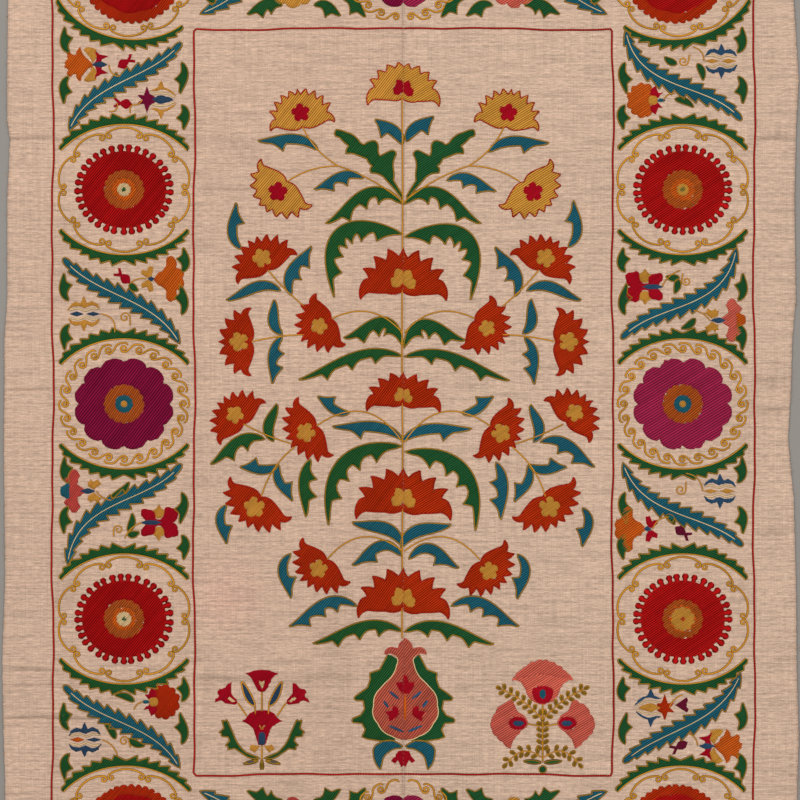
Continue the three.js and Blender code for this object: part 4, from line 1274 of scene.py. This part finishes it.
def end_border(needle, end):
    """An end border's half: a rosette on the seam in its scroll, one long leaf, two flowers and small
    leaves. What the photograph cuts off is finished in the way of its shown parts."""
    centre = complex(0, END_ROSETTES_V[0 if end > 0 else 1])
    rosette(needle, centre, ROSETTE_R, ROSETTE_R, 0, 180)
    big, heart = END_THREADS[needle.side, end]
    for (u, v), radius, thread, inner in zip(
        END_FLOWERS, END_FLOWER_RADII, (big, "scarlet"), (heart, "gold")
    ):
        centre = complex(u, end * v)
        middle = lobed(centre, 0.4 * radius, 0.4 * radius, 6, 0.8)
        needle.couch(thread, lobed(centre, radius, radius, 10, 0.86), over=[middle])
        needle.couch(inner, middle, pitch=FINE)
    base, tip = (complex(u, end * v) for u, v in END_CELL)
    long_leaf(needle, base, tip, 8 * end, 1.6)
    for base_u, base_v, tip_u, tip_v, bow, width, spurs in END_LEAVES:
        outline = leaf(
            complex(base_u, end * base_v), complex(tip_u, end * tip_v), end * bow, width, spurs,
        )
        needle.bordered("green", "edging", outline, width=1.9)


def flask(needle):
    """One half of the pomegranate flask, with the mantle round it and what hangs below. Its middle line
    stands a little right of the seam."""
    def aside(nodes, closed=False):
        line = stretches(nodes, closed=closed)
        shift = FLASK_SHIFT[needle.side]
        return np.where(line.real > 0.5, np.maximum(line.real + shift, 0), 0) + 1j * line.imag

    body = aside(FLASK_BODY)
    mantle = stretches(MANTLE_OUTSIDE + MANTLE_INSIDE)
    over = [aside(FLASK_CREST), aside(FLASK_SIDE, True)]
    lean = ROW_LEAN[LEFT] - ROW_LEAN[needle.side]
    needle.couch("green", mantle, over=[body])
    needle.chain("edging", stretches(MANTLE_OUTSIDE, closed=False))
    needle.couch("coral", body, over=over, lean=lean, pitch=1.1)
    needle.chain("cream", body[(body.imag < THROAT_V) & (body.real > 0)], 2.4, rise=1.2)
    needle.chain("rose", body[(body.imag >= COLLAR_V) & (body.real > 0)], 2.2, rise=1.2)
    for shape in (*over, stretches(FLASK_TASSEL, closed=False)):
        needle.couch("crimson", shape, rise=1.05, pitch=FINE)
    for ends in FLASK_DASHES:
        start, end = (complex(max(u + FLASK_SHIFT[needle.side], 0), v) for u, v in ends)
        needle.stitch("slate", start, end, 6.0, rise=1.5)
    if needle.side == RIGHT:
        needle.stitch("amber", *FLASK_MIDLINE, 6.0, rise=1.4)
    needle.bordered("teal", "edging", stretches(FLASK_LEAF) + 0.5 * min(FLASK_SHIFT[needle.side], 0))


def leaflet(needle, place, ahead):
    """A leaflet of two satin stitches: an ochre one, and a darker one over it."""
    needle.stitch("ochre", place + 0.5 * ahead, place + 10.5 * ahead, 6.8, (0.3, 0.75, 1, 1, 0.6), 0.9)
    needle.stitch("olive", place + 2 * ahead, place + 9.5 * ahead, 4.6, (0.4, 0.9, 1, 0.9, 0.5), 1.3)


def sprig(needle, base, tip, bow, pairs):
    """A branch with pairs of leaflets and one at its tip."""
    share = np.linspace(0, 1, 12)
    line, _ = bowed(base, tip, bow, share)
    needle.chain("ochre", line, 2.0)
    places, normals = bowed(base, tip, bow, (np.arange(pairs) + 0.6) / pairs)
    for place, normal in zip(places, normals):
        for hand in (1, -1):
            leaflet(needle, place, -1j * normal * np.exp(1j * hand * math.radians(52)))
    leaflet(needle, line[-1], -1j * normals[-1])


def tulip_plant(needle):
    """The left panel's small plant, with its spurred leaves, blades and root."""
    foot = complex(*TULIP_PLANT_FOOT)
    for hand in (1, -1):
        shape = stretches(TULIP_PLANT_LEAF)
        shape = shape if hand == 1 else -np.conj(shape)
        needle.bordered("green", "edging", foot + shape, 2.6, FINE)
        base, tip = foot + complex(10 * hand, 74), foot + complex(28 * hand, 107)
        needle.bordered("slate", "ochre", leaf(base, tip, -1.5 * hand, 8, 0), 2.8, FINE)
        needle.stitch("edging", foot + complex(5 * hand, -3), foot + complex(26 * hand, -8), 7.5)
        start, end = foot + complex(10 * hand, -4), foot + complex(22 * hand, -6)
        needle.stitch("slate", start, end, 3.4, rise=1.4)
    needle.stitch("edging", foot - 1j, foot - 16j, 7.5, (0.4, 0.7, 0.95, 1, 0.7))
    needle.stitch("olive", foot - 6j, foot - 14j, 4, rise=1.4)
    draw(needle, TULIP_PLANT, None, *TULIP_PLANT_FOOT)


def poppy_plant(needle):
    """The right panel's small plant: sprigs on both sides and up the stem, a root and the flowers."""
    foot = complex(*POPPY_PLANT_FOOT)
    for base_x, base_y, tip_x, tip_y, bow, pairs in POPPY_SPRIGS:
        for hand in (1, -1):
            base, tip = complex(hand * base_x, base_y), complex(hand * tip_x, tip_y)
            sprig(needle, foot + base, foot + tip, hand * bow, pairs)
    for hand in (1, -1):
        needle.stitch("edging", foot + complex(2 * hand, 4), foot + complex(27 * hand, 6), 8.5)
        needle.stitch("green", foot + complex(5 * hand, 4), foot + complex(24 * hand, 6), 5.0, rise=1.5)
    needle.bordered("green", "edging", lobed(foot - 5.5j, 5, 5, 1, 1), 2.2, FINE)
    sprig(needle, foot + 16j, foot + 58j, 0, 5)
    draw(needle, POPPY_PLANT, None, *POPPY_PLANT_FOOT)


# Operators


class Embroidery:
    """What the operators share that work one group of stitches on both panels."""

    def execute(self, context):
        for side in (LEFT, RIGHT):
            needle = Needle(side, self.group)
            self.work(needle)
            needle.finish()
        return {"FINISHED"}


def waver(along):
    """A hand-sewn line's drift off its true course: three sines."""
    return 1.2 * (np.sin(along / 61) + 0.6 * np.sin(along / 27 + 1.3) + 0.3 * np.sin(along / 11 + 2))


class SUZANI_OT_cloth(bpy.types.Operator):
    """Make the two cotton panels"""

    bl_idname = "suzani.cloth"
    bl_label = "Cotton panels"

    def execute(self, context):
        for side in (LEFT, RIGHT):
            v = np.linspace(-HALF_LENGTH, HALF_LENGTH, int(2 * HALF_LENGTH / ROW_STEP))
            fine = [row[1] + np.linspace(-3, 3, 13) * row[5] for row in CREASES if row[0] == side]
            hem = np.array([HALF_LENGTH - HEM_DEPTH + at for at in (-3, -1.5, 0, 1.5, 3)])
            v = np.sort(np.concatenate([v, hem, -hem, *fine]))
            v = v[np.append(True, np.diff(v) > 0.9)]
            v[-1] = HALF_LENGTH
            share = np.linspace(0, 1, COLUMNS + 1)
            fray = 0.5 * np.sin(v / 3.1) + 0.35 * np.sin(v / 1.7 + 2)
            edge = selvedge(side, v) - 0.6 + fray * 0.5
            u = SEAM_GAP / 2 + (edge[:, None] - SEAM_GAP / 2) * share
            x = SEAM_X + side * u
            y = np.broadcast_to(v[:, None], x.shape)
            if side == LEFT:
                x = x[:, ::-1]
            top = lie(x, y)
            under = np.minimum(swell(x, y), top - 0.3)
            obj = sheet_mesh("cloth_" + PANEL[side], x, y, top, under, creased(x, y)[1])
            obj.data.materials.append(cotton_material(side))
            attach(obj, "root")
            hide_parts("panel_" + PANEL[side])
        return {"FINISHED"}


class SUZANI_OT_frame_lines(Embroidery, bpy.types.Operator):
    """Work the border's two frame lines"""

    bl_idname = "suzani.frame_lines"
    bl_label = "Frame lines"
    group = "frame_line"

    def work(self, needle):
        for lines in (INNER_FRAME, OUTER_FRAME):
            u, top, bottom = lines["u"], lines["top"], lines["bottom"]
            across = np.linspace(0, u - 3, 60)
            down = np.linspace(top - 3, bottom + 3, 180)
            path = np.concatenate([
                across + 1j * (top + waver(across + 40)),
                u + waver(down + 100 * needle.side) + 1j * down,
                (across + 1j * (bottom + waver(across)))[::-1],
            ])
            needle.chain("madder", path, 3.1)


class SUZANI_OT_roundels(Embroidery, bpy.types.Operator):
    """Work the border's roundels with their rings and crescents"""

    bl_idname = "suzani.roundels"
    bl_label = "Roundels"
    group = "roundel"

    def work(self, needle):
        for kind, v, disc_u, rx, ry, ring_u, turn in ROUNDELS:
            centre = complex(disc_u, v)
            for sign in (1, -1):
                crescent(needle, complex(ring_u, v), sign, turn)
            if kind == "rosette":
                rosette(needle, centre, rx, ry)
                continue
            arc_ring(needle, complex(ring_u, v), *ARC_RING_RADII, ARCS)
            if kind == "corner":
                corner_disc(needle, centre, rx, ry)
            else:
                disc(needle, centre, rx, ry, HEARTS[needle.side, v])


class SUZANI_OT_cells(Embroidery, bpy.types.Operator):
    """Work the cells between the roundels"""

    bl_idname = "suzani.cells"
    bl_label = "Border cells"
    group = "cell"

    def work(self, needle):
        for index in range(len(CELLS_V)):
            cell(needle, index)
        for base_u, base_v, tip_u, tip_v, bow, sway in CELL_LEAVES[needle.side]:
            long_leaf(needle, complex(base_u, base_v), complex(tip_u, tip_v), bow, sway)
        for motif, threads, u, v, turn in BORDER_FLOWERS[needle.side]:
            draw(needle, MOTIFS[motif], threads, u, v, turn)
        for from_u, from_v, to_u, to_v, bow in BORDER_STEMS[needle.side]:
            line, _ = bowed(complex(from_u, from_v), complex(to_u, to_v), bow, np.linspace(0, 1, 8))
            needle.chain("ochre", line, 2.2)
        for u, v, radius, entry, sense in BORDER_CURLS[needle.side]:
            curl(needle, complex(u, v), radius, entry, sense)
        for base_u, base_v, tip_u, tip_v in BORDER_LEAVES[needle.side]:
            small_leaf(needle, complex(base_u, base_v), complex(tip_u, tip_v))


class SUZANI_OT_end_borders(Embroidery, bpy.types.Operator):
    """Work the borders of both ends"""

    bl_idname = "suzani.end_borders"
    bl_label = "End borders"
    group = "end"

    def work(self, needle):
        end_border(needle, 1)
        end_border(needle, -1)


class SUZANI_OT_flask(Embroidery, bpy.types.Operator):
    """Work the pomegranate flask at the tree's foot"""

    bl_idname = "suzani.flask"
    bl_label = "Flask"
    group = "flask"

    def work(self, needle):
        flask(needle)


class SUZANI_OT_foot_plants(Embroidery, bpy.types.Operator):
    """Work the two small plants at the foot"""

    bl_idname = "suzani.foot_plants"
    bl_label = "Foot plants"
    group = "plant"

    def work(self, needle):
        if needle.side == LEFT:
            tulip_plant(needle)
        else:
            poppy_plant(needle)


class SUZANI_OT_seam(Embroidery, bpy.types.Operator):
    """Sew the seam, and fray the selvedges"""

    bl_idname = "suzani.seam"
    bl_label = "Seam and frays"
    group = "sewing"

    def work(self, needle):
        if needle.side == LEFT:
            v = np.linspace(-HALF_LENGTH + 2, HALF_LENGTH - 2, 200)
            needle.chain("cotton", SEAM_GAP / 2 * np.sin(v / 9) + 1j * v, 1.5, rise=0.25)
            for v in np.arange(-HALF_LENGTH + 4, HALF_LENGTH - 4, SEAM_STITCH_STEP):
                tilt = needle.random.uniform(0.8, 2.4)
                needle.chain("cotton", np.array([complex(-1.6, v), complex(1.6, v + tilt)]), 1.0, rise=0.5)
        for v in needle.random.uniform(-HALF_LENGTH, HALF_LENGTH, FRAYS):
            edge = selvedge(needle.side, v)
            reach = needle.random.uniform(0.5, 2.6)
            tilt = needle.random.uniform(-2, 2)
            path = np.array([complex(edge - 2, v), complex(edge + reach, v + tilt)])
            needle.chain("cotton", path, 0.7, rise=0.4)


class SUZANI_OT_tree_flowers(Embroidery, bpy.types.Operator):
    """Work the flowers of the tree"""

    bl_idname = "suzani.tree_flowers"
    bl_label = "Tree flowers"
    group = "flower"

    def work(self, needle):
        for row in GOLD_FANS:
            fan(needle, row, "gold", "crimson")
        for row in SCARLET_FANS:
            fan(needle, row, "scarlet", "gold")


class SUZANI_OT_tree_leaves(Embroidery, bpy.types.Operator):
    """Work the leaves and stems of the tree"""

    bl_idname = "suzani.tree_leaves"
    bl_label = "Tree leaves and stems"
    group = "tree"

    def work(self, needle):
        for row in LEAVES:
            tree_leaf(needle, row)
        drift = 4 if needle.side == RIGHT else 0
        needle.bordered("green", "edging", stretches(LOBED_LEAF) + drift)
        for from_u, from_v, to_u, to_v, bow in STEMS:
            start, end = complex(max(from_u, 1), from_v), complex(to_u, to_v)
            path, _ = bowed(start, end, bow, np.linspace(0, 1, 16))
            needle.chain("ochre", path, 2.4)
        if needle.side == LEFT:
            for foot, top in MAIN_STEM:
                v = np.linspace(foot, top, 30)
                needle.chain("ochre", 1.4 + 0.5 * np.sin(v / 60) + 1j * v, 2.6)


class SUZANI_OT_stage(bpy.types.Operator):
    """Lay the floor, set the light and place the camera"""

    bl_idname = "suzani.stage"
    bl_label = "Stage"

    def execute(self, context):
        bpy.ops.mesh.primitive_grid_add(x_subdivisions=8, y_subdivisions=8, size=16, location=(0, 0, 0))
        floor = context.active_object
        floor.name = "floor"
        floor.data.transform(floor.matrix_world)
        floor.matrix_world.identity()
        floor.location = (0, 0, -0.0005)
        floor.data.materials.append(floor_material())

        stage = settings("stage")
        world = bpy.data.worlds.new("studio")
        world.use_nodes = True
        background = world.node_tree.nodes["Background"]
        background.inputs["Color"].default_value = (1, 1, 1, 1)
        background.inputs["Strength"].default_value = stage.fill
        context.scene.world = world
        for name, place, size, power in (
            ("key", (-2.6, 2.3, 3.8), 1.6, stage.key),
            ("side", (2.8, 0.4, 3.6), 1.8, 0.5 * stage.key),
        ):
            light = bpy.data.lights.new(name, "AREA")
            light.energy = power
            light.size = size
            lamp = bpy.data.objects.new(name, light)
            context.scene.collection.objects.link(lamp)
            lamp.location = place
            lamp.rotation_euler = (-lamp.location).to_track_quat("-Z", "Y").to_euler()

        data = bpy.data.cameras.new("camera")
        data.lens = LENS_MM
        data.sensor_width = SENSOR_MM
        camera = bpy.data.objects.new("camera", data)
        context.scene.collection.objects.link(camera)
        x, y = (at * MM for at in PHOTO_MIDDLE)
        camera.location = (x, y, PHOTO_WIDTH * MM * LENS_MM / SENSOR_MM + CLOTH_THICKNESS * MM)
        context.scene.camera = camera
        context.scene.view_settings.view_transform = "Standard"
        return {"FINISHED"}


OPERATORS = (
    SUZANI_OT_stage, SUZANI_OT_cloth, SUZANI_OT_frame_lines, SUZANI_OT_roundels, SUZANI_OT_cells,
    SUZANI_OT_tree_flowers, SUZANI_OT_tree_leaves, SUZANI_OT_flask, SUZANI_OT_foot_plants,
    SUZANI_OT_end_borders, SUZANI_OT_seam,
)
GROUPS = {"cloth": SUZANI_PG_cloth, "silk": SUZANI_PG_silk, "stage": SUZANI_PG_stage}


class SUZANI_PT_panel(bpy.types.Panel):
    """Lists the suzani's pieces and settings"""

    bl_idname = "SUZANI_PT_panel"
    bl_label = "Suzani"
    bl_space_type = "VIEW_3D"
    bl_region_type = "UI"
    bl_category = "Suzani"

    def draw(self, context):
        for group in GROUPS:
            holder = getattr(context.scene, "suzani_" + group)
            for name in holder.bl_rna.properties.keys():
                if name not in ("rna_type", "name"):
                    self.layout.prop(holder, name)
        for operator in OPERATORS:
            self.layout.operator(operator.bl_idname)


def register():
    for group, holder in GROUPS.items():
        bpy.utils.register_class(holder)
        setattr(bpy.types.Scene, "suzani_" + group, PointerProperty(type=holder))
    for cls in (*OPERATORS, SUZANI_PT_panel):
        bpy.utils.register_class(cls)


def unregister():
    for cls in (*OPERATORS, SUZANI_PT_panel):
        bpy.utils.unregister_class(cls)
    for group, holder in GROUPS.items():
        delattr(bpy.types.Scene, "suzani_" + group)
        bpy.utils.unregister_class(holder)


def main():
    register()
    for operator in OPERATORS:
        group, name = operator.bl_idname.split(".")
        getattr(getattr(bpy.ops, group), name)()


if __name__ == "__main__":
    main()
